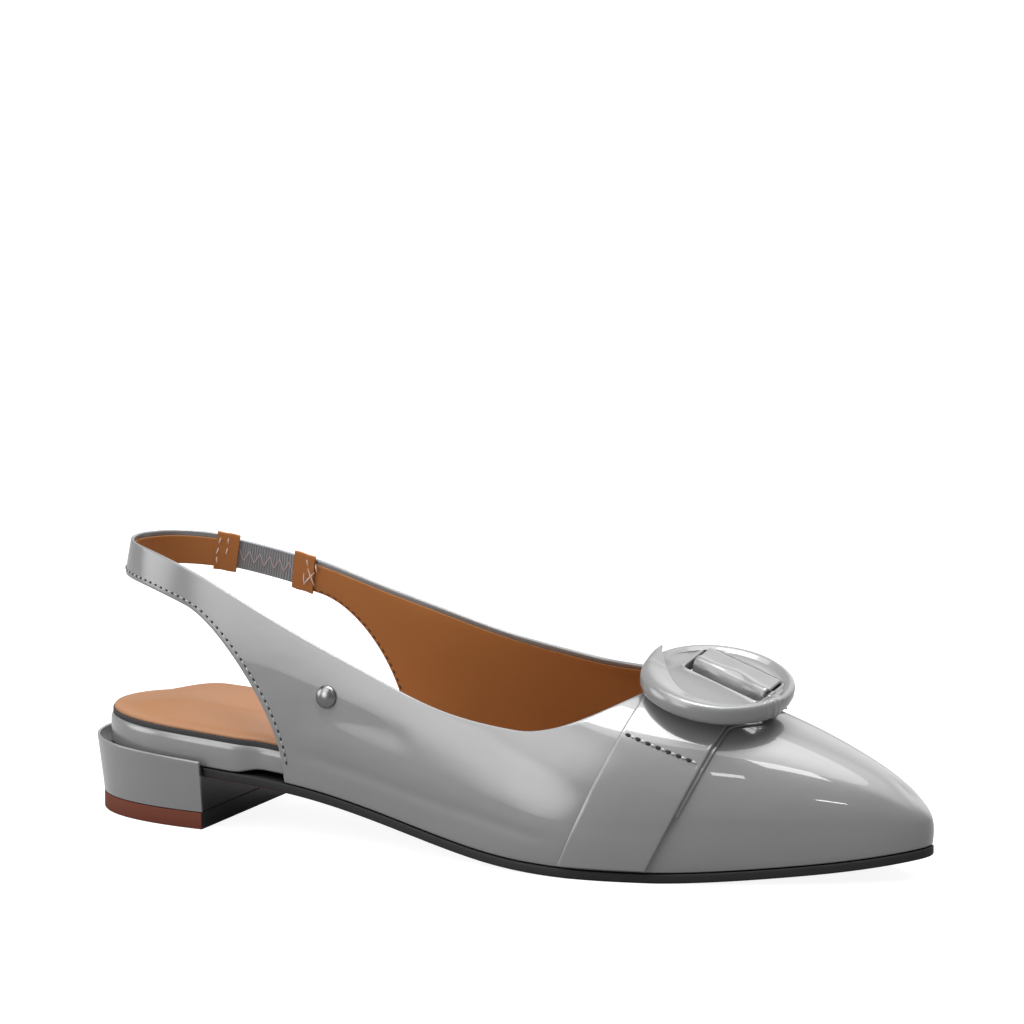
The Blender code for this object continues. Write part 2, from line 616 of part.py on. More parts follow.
def make_buckle():
    """The round covered buckle: a dished disc with a window and a lengthwise bar.

    Its corners are half a step round from the bar's edges, so no cut runs along one of them.
    """
    profile = np.array(BUCKLE_PROFILE) * (BUCKLE_RADIUS, BUCKLE_THICK / 2)
    step = 2 * np.pi / BUCKLE_SIDES
    angles = (np.arange(BUCKLE_SIDES + 1) + 0.5) * step
    centre, along, across, upright = buckle_frame()
    ring = np.cos(angles)[:, None, None] * along + np.sin(angles)[:, None, None] * across
    surface = centre + ring * profile[None, :, :1] + profile[None, :, 1:] * upright
    data = joined_grids([surface])
    bmesh.ops.recalc_face_normals(data, faces=data.faces)
    buckle = make_object("buckle", data, PATENT, 0.12)
    end = WINDOW_LENGTH / 2
    deep = 2 * BUCKLE_THICK
    ledge = end + CLEAR
    low = BAR_NEAR + BAR_SHOULDER * (WINDOW_NEAR - BAR_NEAR)
    high = BAR_FAR + BAR_SHOULDER * (WINDOW_FAR - BAR_FAR)
    cut(buckle, buckle_box("bar_top", (-ledge, low, BAR_TOP), (ledge, high, deep)))
    cut(buckle, buckle_box("window_near", (-end, WINDOW_NEAR, -deep), (end, BAR_NEAR, deep)))
    cut(buckle, buckle_box("window_far", (-end, BAR_FAR, -deep), (end, WINDOW_FAR, deep)))
    return buckle


def make_band():
    """The band across the vamp, sole line to sole line, which rises over the buckle's bar."""
    climb = np.concatenate([np.linspace(0.012, 0.8, 14)[:-1], np.linspace(0.8, 1, 14)])
    widths = np.linspace(0, 1, 7)
    sides = []
    for side in (-1, 1):
        share = climb[:, None] if side < 0 else climb[::-1][1:, None]
        turn = (1 - share)**BAND_SWING
        rear = BAND_REAR[1] + (BAND_REAR[0] - BAND_REAR[1]) * turn
        front = BAND_FRONT[1] + (BAND_FRONT[0] - BAND_FRONT[1]) * turn
        rows = on_side(side, rear + (front - rear) * widths)
        sides.append(np.dstack([rows, np.broadcast_to(share, rows.shape)]))
    rows, share = np.moveaxis(np.concatenate(sides), -1, 0)
    centre, along, across, upright = buckle_frame()

    def place(rows):
        return last_point(rows, share) + outward(rows, share) * CLEAR - centre

    base = place(rows)
    slack = BAND_GATHER[1] - BAND_GATHER[0]
    gather = (ease((base @ across + BAND_GATHER[1]) / slack)
              * ease((BAND_GATHER[2] - base @ across) / slack))
    aim = (widths - 0.5) * (WINDOW_LENGTH - 4 * CLEAR)
    aim = base @ along + gather * (aim - base @ along)
    for step in range(GATHER_STEPS):
        pitch = (place(rows + NEAR_ROW) - place(rows - NEAR_ROW)) @ along / (2 * NEAR_ROW)
        rows = rows + (aim - place(rows) @ along) / pitch
    base = place(rows)
    crosswise, height = base @ across, base @ upright
    near_edge, far_edge = WINDOW_NEAR + CLEAR, WINDOW_FAR - CLEAR
    near_bar, far_bar = BAR_NEAR - CLEAR, BAR_FAR + CLEAR
    rise = ease((crosswise - near_edge) / (near_bar - near_edge))
    fall = ease((far_edge - crosswise) / (far_edge - far_bar))
    lift = (BAR_TOP + CLEAR - height) * rise * fall
    lower = centre + base + lift[..., None] * upright
    slope_w = np.gradient(lower, axis=0)
    slope_u = np.gradient(lower, axis=1)
    upper = lower + unit(np.cross(slope_u, slope_w)) * BAND_THICK
    return make_object("vamp_band", closed_grids(upper, lower), PATENT, 0.12)


def make_stud():
    """A small plain domed stud on the lateral quarter."""
    row, share = np.array([STUD_ROW]), np.array([STUD_SHARE])
    normal = outward(row, share)[0]
    foot = last_point(row, share)[0] + normal * CLEAR
    along = unit(np.cross([0, 0, 1], normal))
    across = np.cross(normal, along)
    rise = np.linspace(0, np.pi / 2, 5)
    profile = np.column_stack([np.cos(rise) * STUD_RADIUS, np.sin(rise) * STUD_HEIGHT])
    profile = np.vstack([[0, 0], profile])
    angles = np.linspace(0, 2 * np.pi, 21)[:, None, None]
    ring = np.cos(angles) * along + np.sin(angles) * across
    surface = foot + ring * profile[None, :, :1] + profile[None, :, 1:] * normal
    data = joined_grids([surface])
    bmesh.ops.recalc_face_normals(data, faces=data.faces)
    return make_object("side_stud", data, METAL, 0.25, 1.0)


for old in list(bpy.data.objects):
    bpy.data.objects.remove(old, do_unlink=True)

tread_x = HEEL_LENGTH / 2
tread_row = row_at(tread_x / LENGTH)
tread_y = np.mean([foot_line(on_side(side, np.array([tread_row])))[1][0] for side in (-1, 1)])
ORIGIN = np.array([tread_x, tread_y, 0.0])

make_upper()
make_gore()
make_outsole()
make_board()
make_sock()
make_heel_block()
make_top_lift()
make_band()
make_buckle()
make_stud()
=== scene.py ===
import bmesh
import bpy
import numpy as np
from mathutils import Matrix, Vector


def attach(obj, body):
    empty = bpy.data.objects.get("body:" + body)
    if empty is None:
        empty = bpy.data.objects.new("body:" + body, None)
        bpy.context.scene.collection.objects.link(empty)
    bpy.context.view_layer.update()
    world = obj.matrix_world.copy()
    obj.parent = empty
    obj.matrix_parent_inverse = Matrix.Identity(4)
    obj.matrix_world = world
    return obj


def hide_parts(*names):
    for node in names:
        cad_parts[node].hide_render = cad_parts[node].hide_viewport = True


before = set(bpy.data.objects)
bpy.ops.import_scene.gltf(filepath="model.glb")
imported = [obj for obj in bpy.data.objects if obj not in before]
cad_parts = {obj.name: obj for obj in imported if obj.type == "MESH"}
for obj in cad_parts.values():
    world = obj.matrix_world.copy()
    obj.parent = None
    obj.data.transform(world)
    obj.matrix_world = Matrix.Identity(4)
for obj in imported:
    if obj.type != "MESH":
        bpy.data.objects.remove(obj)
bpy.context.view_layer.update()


# Camera. A long lens stands two metres off the lateral side, 25 degrees round towards the toe
# and a little above the shoe. It is aimed past the target so the shoe sits low in the frame.
VIEW_TURN = np.radians(25.0)
VIEW_RISE = np.radians(11.8)
VIEW_DISTANCE = 2.0
VIEW_TARGET = np.array([0.103, -0.00302, 0.030])
AIM_ASIDE = 0.003355
AIM_ABOVE = 0.032774
LENS_LENGTH = 241.03
SENSOR_WIDTH = 36.0

view_back = np.array([np.sin(VIEW_TURN) * np.cos(VIEW_RISE),
                      -np.cos(VIEW_TURN) * np.cos(VIEW_RISE), np.sin(VIEW_RISE)])
view_right = np.array([np.cos(VIEW_TURN), np.sin(VIEW_TURN), 0.0])
view_up = np.cross(view_back, view_right)
view_aim = AIM_ASIDE * view_right + AIM_ABOVE * view_up - view_back
lens = bpy.data.cameras.new("product_lens")
lens.lens = LENS_LENGTH
lens.sensor_width = SENSOR_WIDTH
lens.clip_end = 50.0
camera = bpy.data.objects.new("product_camera", lens)
camera.location = VIEW_TARGET + VIEW_DISTANCE * view_back
camera.rotation_euler = Vector(view_aim).to_track_quat("-Z", "Y").to_euler()
bpy.context.scene.collection.objects.link(camera)
bpy.context.scene.camera = camera


# Studio. The shoe stands on a sweep of pale card under a large softbox, in a white room whose
# walls are lit in broad soft patches; three small softboxes make the highlights on the vamp.
FLOOR_HALF = 9.0
FLOOR_COLOUR = (0.28, 0.28, 0.28)
FLOOR_GLOW = 0.90       # added where the camera sees the card, so that it prints white
FLOOR_ROUGHNESS = 0.85
FLOOR_SPECULAR = 0.1
ROOM_COLOUR = (1.0, 1.0, 1.0)
ROOM_STRENGTH = 0.42
CEILING_STRENGTH = 1.55
CEILING_ANGLE = np.radians(50.0)
# Lit patches of wall: turn and rise of the middle, inner and outer half angle, radiance
GLOWS = (
    (-31.0, 13.0, 2.0, 18.0, 4.3),
    (-70.0, 14.0, 2.0, 21.0, 3.7),
    (-33.0, 42.0, 3.0, 25.0, 3.1),
    (-75.0, 64.0, 3.0, 17.0, 2.4),
    (128.0, 66.0, 4.0, 32.0, 2.2),
    (175.0, 30.0, 5.0, 38.0, 1.1),
)
# Softboxes: name, place, target, width, length, power
SOFTBOXES = (
    ("overhead_softbox", (0.10, -0.15, 1.30), (0.10, 0.0, 0.03), 0.52, 0.56, 9.4),
    ("front_strip", (0.94, -1.08, 0.79), (0.19, 0.0, 0.03), 0.15, 0.03, 0.30),
    ("vamp_softbox", (0.61, -0.44, 1.18), (0.19, 0.0, 0.03), 0.20, 0.13, 0.85),
    ("vamp_card", (0.55, -0.87, 0.95), (0.19, 0.0, 0.03), 0.10, 0.07, 0.22),
)


def plain_material(name, colour, roughness, metallic=0.0):
    """A material with one Principled shader, whose plain values are set on its own sockets."""
    material = bpy.data.materials.new(name)
    material.use_nodes = True
    shader = material.node_tree.nodes["Principled BSDF"]
    shader.inputs["Base Color"].default_value = (*colour, 1.0)
    shader.inputs["Roughness"].default_value = roughness
    shader.inputs["Metallic"].default_value = metallic
    return material, shader


floor_mesh = bpy.data.meshes.new("floor")
floor_mesh.from_pydata([(-FLOOR_HALF, -FLOOR_HALF, 0.0), (FLOOR_HALF, -FLOOR_HALF, 0.0),
                        (FLOOR_HALF, FLOOR_HALF, 0.0), (-FLOOR_HALF, FLOOR_HALF, 0.0)],
                       [], [(0, 1, 2, 3)])
floor = bpy.data.objects.new("floor", floor_mesh)
floor_material, floor_shader = plain_material("pale_card", FLOOR_COLOUR, FLOOR_ROUGHNESS)
floor_shader.inputs["Specular IOR Level"].default_value = FLOOR_SPECULAR
floor_shader.inputs["Emission Color"].default_value = (*ROOM_COLOUR, 1.0)
seen = floor_material.node_tree.nodes.new("ShaderNodeLightPath")
glow = floor_material.node_tree.nodes.new("ShaderNodeMath")
glow.operation = "MULTIPLY"
glow.inputs[1].default_value = FLOOR_GLOW
floor_material.node_tree.links.new(seen.outputs["Is Camera Ray"], glow.inputs[0])
floor_material.node_tree.links.new(glow.outputs["Value"], floor_shader.inputs["Emission Strength"])
floor_mesh.materials.append(floor_material)
bpy.context.scene.collection.objects.link(floor)

room = bpy.data.worlds.new("white_room")
room.use_nodes = True
nodes, links = room.node_tree.nodes, room.node_tree.links
nodes["Background"].inputs["Color"].default_value = (*ROOM_COLOUR, 1.0)
way, seen = nodes.new("ShaderNodeTexCoord"), nodes.new("ShaderNodeLightPath")
total = seen.outputs["Is Camera Ray"]
for turn, rise, inner, outer, radiance in GLOWS:
    turn, rise, inner, outer = np.radians((turn, rise, inner, outer))
    dot, spread, added = (nodes.new(kind) for kind in
                          ("ShaderNodeVectorMath", "ShaderNodeMapRange", "ShaderNodeMath"))
    dot.operation, spread.interpolation_type = "DOT_PRODUCT", "SMOOTHSTEP"
    dot.inputs[1].default_value = (np.sin(turn) * np.cos(rise), -np.cos(turn) * np.cos(rise),
                                   np.sin(rise))
    for name, value in (("From Min", np.cos(outer)), ("From Max", np.cos(inner)),
                        ("To Min", 0.0), ("To Max", radiance)):
        spread.inputs[name].default_value = value
    links.new(way.outputs["Generated"], dot.inputs[0])
    links.new(dot.outputs["Value"], spread.inputs["Value"])
    links.new(total, added.inputs[0])
    links.new(spread.outputs["Result"], added.inputs[1])
    total = added.outputs["Value"]
base = nodes.new("ShaderNodeMath")
base.inputs[1].default_value = ROOM_STRENGTH
links.new(total, base.inputs[0])
links.new(base.outputs["Value"], nodes["Background"].inputs["Strength"])
bpy.context.scene.world = room
ceiling = bpy.data.lights.new("lit_ceiling", "SUN")
ceiling.energy = CEILING_STRENGTH
ceiling.angle = CEILING_ANGLE
bpy.context.scene.collection.objects.link(bpy.data.objects.new("lit_ceiling", ceiling))
for name, place, target, width, length, power in SOFTBOXES:
    light = bpy.data.lights.new(name, "AREA")
    light.shape = "RECTANGLE"
    light.size = width
    light.size_y = length
    light.energy = power
    holder = bpy.data.objects.new(name, light)
    holder.location = place
    aim = Vector(target) - Vector(place)
    holder.rotation_euler = aim.to_track_quat("-Z", "Y").to_euler()
    bpy.context.scene.collection.objects.link(holder)
bpy.context.scene.view_settings.view_transform = "Standard"
bpy.context.scene.view_settings.look = "None"


# Upper. Vamp, quarters and sling strap are one wall of grey patent leather pulled over the last.
# The top edge and the open rear edges are skived and rolled over; the foot is turned under.
LENGTH = 0.262          # heel back to toe tip, along the sole line
BALL_WIDTH = 0.078      # across the sole line at the widest place
CONE_HEIGHT = 0.120     # ground to the top of the last's cone
HEEL_SEAT = 0.0203      # ground to the sole line at the heel back
TOE_SPRING = 0.0067     # rise of the sole under the toe tip
BACK_HEIGHT = 0.0805    # ground to the top edge of the strap at the back
SOLE_THICK = 0.0030
STRAP_WIDTH = 0.0106
PATENT_THICK = 0.0011
ROLL = 0.00055          # radius of the rolled edges
ORIGIN = np.array([0.022, 0.00301715, 0.0])
# Sections of the last, toe tip to heel back, as shares of the sizes above
COLUMNS = ("foot_x", "lateral", "medial", "ridge_x", "ridge_z", "rise", "lean", "reach")
SECTIONS = np.array([
    (1.000, 0.045, 0.045, 0.966, 0.214, 0.62, 0.019, 0.80),
    (0.985, -0.049, 0.135, 0.953, 0.237, 0.62, 0.019, 0.78),
    (0.940, -0.158, 0.224, 0.924, 0.274, 0.64, 0.023, 0.70),
    (0.870, -0.274, 0.327, 0.866, 0.330, 0.66, 0.028, 0.62),
    (0.780, -0.401, 0.429, 0.780, 0.392, 0.66, 0.033, 0.58),
    (0.680, -0.496, 0.500, 0.680, 0.444, 0.64, 0.038, 0.56),
    (0.580, -0.499, 0.487, 0.590, 0.498, 0.60, 0.038, 0.56),
    (0.470, -0.427, 0.404, 0.495, 0.595, 0.55, 0.038, 0.60),
    (0.360, -0.362, 0.359, 0.410, 0.733, 0.50, 0.038, 0.62),
    (0.250, -0.336, 0.365, 0.340, 0.867, 0.45, 0.026, 0.64),
    (0.140, -0.321, 0.385, 0.270, 0.950, 0.40, 0.000, 0.68),
    (0.060, -0.251, 0.333, 0.215, 0.983, 0.36, -0.038, 0.78),
    (0.015, -0.122, 0.212, 0.180, 1.000, 0.36, -0.077, 0.92),
    (0.000, 0.045, 0.045, 0.165, 1.000, 0.36, -0.090, 1.00)])
BACK_ROW = len(SECTIONS) - 1
LOOP = 2 * BACK_ROW
RIDGE_PLAN = ((0.00, 0.25, 0.60, 1.00), (0.032, 0.019, 0.000, 0.051))
SOLE_LINE = np.array([
    (0.00, 1.000, 0.00), (0.10, 0.960, 0.00), (0.20, 0.879, 0.00), (0.30, 0.728, 0.00),
    (0.42, 0.393, 0.00), (0.55, 0.069, 0.00), (0.64, 0.000, 0.00), (0.74, 0.000, 0.00),
    (0.86, 0.000, 0.30), (0.94, 0.000, 0.64), (1.00, 0.000, 1.00)])
TOP_EDGE = np.array([
    (0.00, 1.008, 1.008), (0.08, 0.990, 0.998), (0.15, 0.934, 0.960), (0.23, 0.825, 0.906),
    (0.305, 0.722, 0.839), (0.38, 0.630, 0.777), (0.458, 0.546, 0.713), (0.534, 0.506, 0.671),
    (0.61, 0.494, 0.640), (0.72, 0.503, 0.622)])
SHARED_BACK = (0.035, 0.080)
THROAT_ROW, THROAT_SWEEP = 4.80, 1.40
THROAT_PITCH = 0.0236   # metres of ridge in one row at the throat
QUARTER_X = {-1: 0.271, 1: 0.330}
QUARTER_SWEEP = {-1: 1.40, 1: 1.10}
GORE_X = (0.120, 0.1975)
RIB_STEPS = 241         # places tried on a rib when an edge's line is looked for
ROW_STEPS = 400         # places tried along the rows
TOE_ROWS, THROAT_ROWS, SIDE_ROWS, SWEEP_ROWS, BACK_ROWS, REAR_ROWS = 70, 60, 40, 60, 60, 50
ROW_SPARE = 0.02        # rows nearer than this to the elastic's end are left out
WALL_COLUMNS = 34
EDGE_STEPS = 6          # steps round a half round edge
END_GAP = 0.0003
CREASE_ANGLE = 50.0     # edges sharper than this stay hard
WALL_MERGE = 1e-5
STEEPEST = -3.0


def closed_curve(values, rows):
    """Periodic cubic spline through one value a row; its slopes solve m[i-1] + 4 m[i] + m[i+1]
    equal to three times the difference of the neighbours."""
    count = len(values)
    index = np.arange(count)
    matrix = np.zeros((count, count))
    matrix[index, index] = 4
    matrix[index, (index + 1) % count] = 1
    matrix[index, (index - 1) % count] = 1
    slopes = np.linalg.solve(matrix, 3 * (np.roll(values, -1) - np.roll(values, 1)))
    rows = np.asarray(rows, float) % count
    here = np.floor(rows).astype(int) % count
    after = (here + 1) % count
    t = rows - np.floor(rows)
    return ((2 * t**3 - 3 * t**2 + 1) * values[here] + (t**3 - 2 * t**2 + t) * slopes[here]
            + (3 * t**2 - 2 * t**3) * values[after] + (t**3 - t**2) * slopes[after])


def open_curve(places, values, x):
    """Natural cubic spline through (place, value), held level outside its ends."""
    places, values = np.asarray(places, float), np.asarray(values, float)
    count = len(places)
    step = np.diff(places)
    inner = np.arange(1, count - 1)
    matrix = np.eye(count)
    matrix[inner, inner - 1] = step[:-1]
    matrix[inner, inner] = 2 * (step[:-1] + step[1:])
    matrix[inner, inner + 1] = step[1:]
    right = np.zeros(count)
    right[1:-1] = 6 * np.diff(np.diff(values) / step)
    bend = np.linalg.solve(matrix, right)
    x = np.clip(x, places[0], places[-1])
    i = np.clip(np.searchsorted(places, x) - 1, 0, count - 2)
    left, ahead, h = x - places[i], places[i + 1] - x, step[i]
    return ((bend[i] * ahead**3 + bend[i + 1] * left**3) / (6 * h)
            + (values[i] / h - bend[i] * h / 6) * ahead
            + (values[i + 1] / h - bend[i + 1] * h / 6) * left)


def ease(t):
    """Smooth step: three t squared less two t cubed, held at 0 and 1 outside."""
    t = np.clip(t, 0, 1)
    return t * t * (3 - 2 * t)


def loop_of(column):
    """One column of the sections as a loop: down the lateral rows, back up the medial ones."""
    values = SECTIONS[:, COLUMNS.index(column)]
    return np.concatenate([values, values[-2:0:-1]])


def sole_line(x):
    """Height of the sole line: the outsole's thickness, plus the spline of the side view."""
    rise = SOLE_LINE[:, 1] * (HEEL_SEAT - SOLE_THICK) + SOLE_LINE[:, 2] * TOE_SPRING
    return SOLE_THICK + np.maximum(open_curve(SOLE_LINE[:, 0] * LENGTH, rise, x), 0)


def top_edge(side, x):
    """Height of the top edge: each side's spline, blended to their mean round the back."""
    lateral, medial = (open_curve(TOP_EDGE[:, 0] * LENGTH, TOP_EDGE[:, column] * BACK_HEIGHT, x)
                       for column in (1, 2))
    shared = (lateral + medial) / 2
    own = lateral if side < 0 else medial
    return shared + (own - shared) * ease((x / LENGTH - SHARED_BACK[0]) / SHARED_BACK[1])


def foot_line(rows, outward=0.0):
    """Plan of the sole line: two periodic splines, moved along their left normal."""
    x_loop = loop_of("foot_x") * LENGTH
    sides = SECTIONS[:, 1], SECTIONS[-2:0:-1, 2]
    y_loop = np.concatenate(sides) * BALL_WIDTH
    small = 1e-3
    x, y = closed_curve(x_loop, rows), closed_curve(y_loop, rows)
    along_x = closed_curve(x_loop, rows + small) - closed_curve(x_loop, rows - small)
    along_y = closed_curve(y_loop, rows + small) - closed_curve(y_loop, rows - small)
    size = np.hypot(along_x, along_y)
    out_x, out_y = -along_y / size, along_x / size
    return x + out_x * outward, y + out_y * outward, out_x, out_y


def ridge_slope(rows):
    """Fall of the ridge along the shoe at a row: central difference of its height over its x."""
    rows = np.asarray(rows, float) % LOOP
    near = np.clip(np.where(rows < BACK_ROW, rows, LOOP - rows), 0.5, BACK_ROW - 0.5)
    small = 1e-2
    x_loop, z_loop = loop_of("ridge_x") * LENGTH, loop_of("ridge_z") * CONE_HEIGHT
    run = closed_curve(x_loop, near + small) - closed_curve(x_loop, near - small)
    drop = closed_curve(z_loop, near + small) - closed_curve(z_loop, near - small)
    level = np.abs(run) < 1e-9
    return np.clip(np.where(level, 0, drop / np.where(level, 1, run)), STEEPEST, 0)


def last_point(rows, share):
    """Point on the last: a cubic Bezier rib from the sole line (share 0) to the ridge (share 1).
    The first handle leans out and rises, the last one lies along the ridge's slope."""
    rows, share = np.broadcast_arrays(np.asarray(rows, float), np.asarray(share, float))
    foot_x, foot_y, out_x, out_y = foot_line(rows)
    foot_z = sole_line(foot_x)
    ridge_x = closed_curve(loop_of("ridge_x") * LENGTH, rows)
    ridge_z = closed_curve(loop_of("ridge_z") * CONE_HEIGHT, rows)
    ridge_y = np.interp(ridge_x / LENGTH, *RIDGE_PLAN) * BALL_WIDTH
    rise, lean, reach = (closed_curve(loop_of(name), rows) for name in ("rise", "lean", "reach"))
    back_x, back_y = foot_x - ridge_x, foot_y - ridge_y
    p0 = np.stack([foot_x, foot_y, foot_z], -1)
    p3 = np.stack([ridge_x, ridge_y, ridge_z], -1)
    p1 = p0 + np.stack([out_x * lean * BALL_WIDTH, out_y * lean * BALL_WIDTH,
                        rise * (ridge_z - foot_z)], -1)
    p2 = p3 + np.stack([reach * back_x, reach * back_y, ridge_slope(rows) * reach * back_x], -1)
    t = share[..., None]
    point = (1 - t)**3 * p0 + 3 * (1 - t)**2 * t * p1 + 3 * (1 - t) * t**2 * p2 + t**3 * p3
    return point - ORIGIN


def unit(vectors):
    """Vectors divided by their lengths."""
    return vectors / np.maximum(np.linalg.norm(vectors, axis=-1, keepdims=True), 1e-12)


def outward(rows, share):
    """Unit normal of the last: the rib's direction crossed with the direction along the rows.
    On the ridge both sides take the one normal that is square to the ridge's slope."""
    rows, share = np.broadcast_arrays(np.asarray(rows, float), np.asarray(share, float))
    small = 1e-3
    low, high = np.clip(share - small, 0, 1), np.clip(share + small, 0, 1)
    up = last_point(rows, high) - last_point(rows, low)
    along = last_point(rows + small, share) - last_point(rows - small, share)
    slope = ridge_slope(rows)
    square = np.stack([-slope, np.zeros_like(slope), np.ones_like(slope)], -1)
    return unit(np.where((share >= 1)[..., None], square, unit(np.cross(up, along))))


def loop_row(side, rows):
    """Loop row of a row counted from the toe tip on one side: -1 lateral, 1 medial."""
    return rows if side < 0 else LOOP - rows


def crossing(side, rows, line):
    """Share of each rib at which it first rises through a line drawn in side view."""
    share = np.linspace(0, 1, RIB_STEPS)
    ribs = last_point(loop_row(side, rows)[:, None], share[None, :]) + ORIGIN
    over = ribs[..., 2] - line(ribs[..., 0])
    first = np.clip(np.argmax(over > 0, axis=1), 1, None)
    pick = np.arange(len(rows))
    under, past = over[pick, first - 1], over[pick, first]
    return share[first - 1] + under / (under - past) * share[1]


def arc_fall(t):
    """Quarter circle that falls from 1 to 0, steep first."""
    return 1 - np.sqrt(np.clip(1 - (1 - np.clip(t, 0, 1))**2, 0, 1))


def quarter_row(side, inset=0.0):
    """Row at which the quarter's rear edge, drawn in by the inset, meets the sole line."""
    rows = np.linspace(THROAT_ROW, BACK_ROW, ROW_STEPS)
    x = foot_line(loop_row(side, rows))[0]
    return np.interp(-QUARTER_X[side] * LENGTH - inset, -x, rows)


def top_share(side, rows, inset=0.0):
    """Share of each rib at the top edge, drawn in by the inset and swept up at the throat."""
    throat = THROAT_ROW - inset / THROAT_PITCH
    edge = crossing(side, rows, lambda x: top_edge(side, x) - inset)
    return np.where(rows <= throat, 1.0, edge + (1 - edge) * arc_fall((rows - throat) / THROAT_SWEEP))


def low_share(side, rows, inset=0.0):
    """Share of each rib at the lower edge: the foot in front, then up to the strap's lower edge."""
    strap = crossing(side, rows, lambda x: top_edge(side, x) - STRAP_WIDTH + inset)
    small = 1e-2
    speed = np.linalg.norm(last_point(loop_row(side, rows), small)
                           - last_point(loop_row(side, rows), 0), axis=-1) / small
    foot = inset / speed
    corner = quarter_row(side, inset)
    rise = 1 - arc_fall((rows - corner) / QUARTER_SWEEP[side])
    return np.where(rows <= corner, foot, foot + (strap - foot) * rise)


def strap_row(side, x_share):
    """Row whose top edge lies at x."""
    rows = np.linspace(quarter_row(side), BACK_ROW, ROW_STEPS)
    x = (last_point(loop_row(side, rows), top_share(side, rows)) + ORIGIN)[:, 0]
    return np.interp(-x_share * LENGTH, -x, rows)


def wall_strip(inset, low_inset, gap):
    """Loop rows, lower and top shares and the closed mask of the whole wall, from the elastic's
    front end round the toe, the lateral side and the heel to the elastic's rear end."""
    throat = THROAT_ROW - inset / THROAT_PITCH
    sides = {}
    for side in (-1, 1):
        corner = quarter_row(side, low_inset)
        joined = corner + QUARTER_SWEEP[side]
        swept = throat + THROAT_SWEEP
        sides[side] = np.concatenate([
            np.linspace(0, throat, TOE_ROWS)[:-1],
            throat + THROAT_SWEEP * np.linspace(0, 1, THROAT_ROWS)[:-1]**2,
            np.linspace(swept, corner, SIDE_ROWS)[:-1],
            corner + QUARTER_SWEEP[side] * np.linspace(0, 1, SWEEP_ROWS)[:-1]**2,
            np.linspace(joined, BACK_ROW, BACK_ROWS)])
    gore_rear = strap_row(1, GORE_X[0] - gap / LENGTH)
    gore_front = strap_row(1, GORE_X[1] + gap / LENGTH)
    fore = sides[1][sides[1] < gore_front - ROW_SPARE]
    medial_fore = np.append(fore, gore_front)[::-1]
    lateral = sides[-1][1:]
    medial_rear = np.linspace(gore_rear, BACK_ROW, REAR_ROWS)[::-1][1:]
    rows = np.concatenate([LOOP - medial_fore, LOOP + lateral, 2 * LOOP - medial_rear])
    low = np.concatenate([low_share(1, medial_fore, low_inset),
                          low_share(-1, lateral, low_inset),
                          low_share(1, medial_rear, low_inset)])
    top = np.concatenate([top_share(1, medial_fore, inset), top_share(-1, lateral, inset),
                          top_share(1, medial_rear, inset)])
    closed = np.concatenate([medial_fore <= throat, lateral <= throat, medial_rear < 0])
    return rows, low, top, closed


def quads(index, keep=None):
    """Quads between neighbours of a grid of vertex numbers, without the cells left out."""
    cells = np.stack([index[:-1, :-1], index[:-1, 1:], index[1:, 1:], index[1:, :-1]], -1)
    return cells.reshape(-1, 4) if keep is None else cells[keep]


def make_piece(name, points, faces, materials, smooth_angle=40.0, merge=2e-6):
    """One object in the row frame: doubles merged, faces turned outward, edges sharper than the
    angle kept hard. It rides the one body of the shoe."""
    mesh = bpy.data.meshes.new(name)
    mesh.from_pydata(np.asarray(points).tolist(), [], [face.tolist() for face in faces])
    work = bmesh.new()
    work.from_mesh(mesh)
    bmesh.ops.remove_doubles(work, verts=work.verts, dist=merge)
    bmesh.ops.dissolve_degenerate(work, edges=work.edges, dist=merge / 4)
    bmesh.ops.recalc_face_normals(work, faces=work.faces)
    work.to_mesh(mesh)
    work.free()
    for material in materials:
        mesh.materials.append(material)
    mesh.shade_smooth()
    mesh.set_sharp_from_angle(angle=np.radians(smooth_angle))
    piece = bpy.data.objects.new(name, mesh)
    bpy.context.scene.collection.objects.link(piece)
    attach(piece, "root")
    return piece


def away_from(edge, neighbour, normal):
    """Unit vectors in the surface, square to the edge and away from its inner neighbour."""
    away = unit(np.cross(normal, np.gradient(edge, axis=0)))
    return away * np.sign(np.sum(away * (edge - neighbour), -1))[:, None]


def half_round(edge, away, normal, radius, steps):
    """Half round from an outer edge to an inner one: away times the sine of the turn, and inward
    by the radius times one less its cosine."""
    turn = np.linspace(0, np.pi, steps + 2)[1:-1]
    return (edge[:, None] + radius * away[:, None] * np.sin(turn)[:, None]
            - radius * normal[:, None] * (1 - np.cos(turn))[:, None])


def bead(edge, neighbour, normal, radius, steps=EDGE_STEPS):
    """Half round that leaves the edge square to it."""
    return half_round(edge, away_from(edge, neighbour, normal), normal, radius, steps)


def end_faces(ring, columns, top_steps, low_steps):
    """Quads across one end of a closed wall: the outer face with the nearer halves of both beads
    against the inner face with their farther halves."""
    low_bead = ring[-1 - low_steps:-1]
    top_bead = ring[columns:columns + top_steps]
    inner = ring[columns + top_steps:2 * columns + top_steps]
    outside = np.concatenate([low_bead[low_steps // 2:], ring[:columns], top_bead[:top_steps // 2]])
    inside = np.concatenate([low_bead[:low_steps // 2][::-1], inner[::-1],
                             top_bead[top_steps // 2:][::-1]])
    return [*quads(np.stack([outside, inside]))]


def flat(point):
    """No relief."""
    return np.zeros(point.shape[:-1])


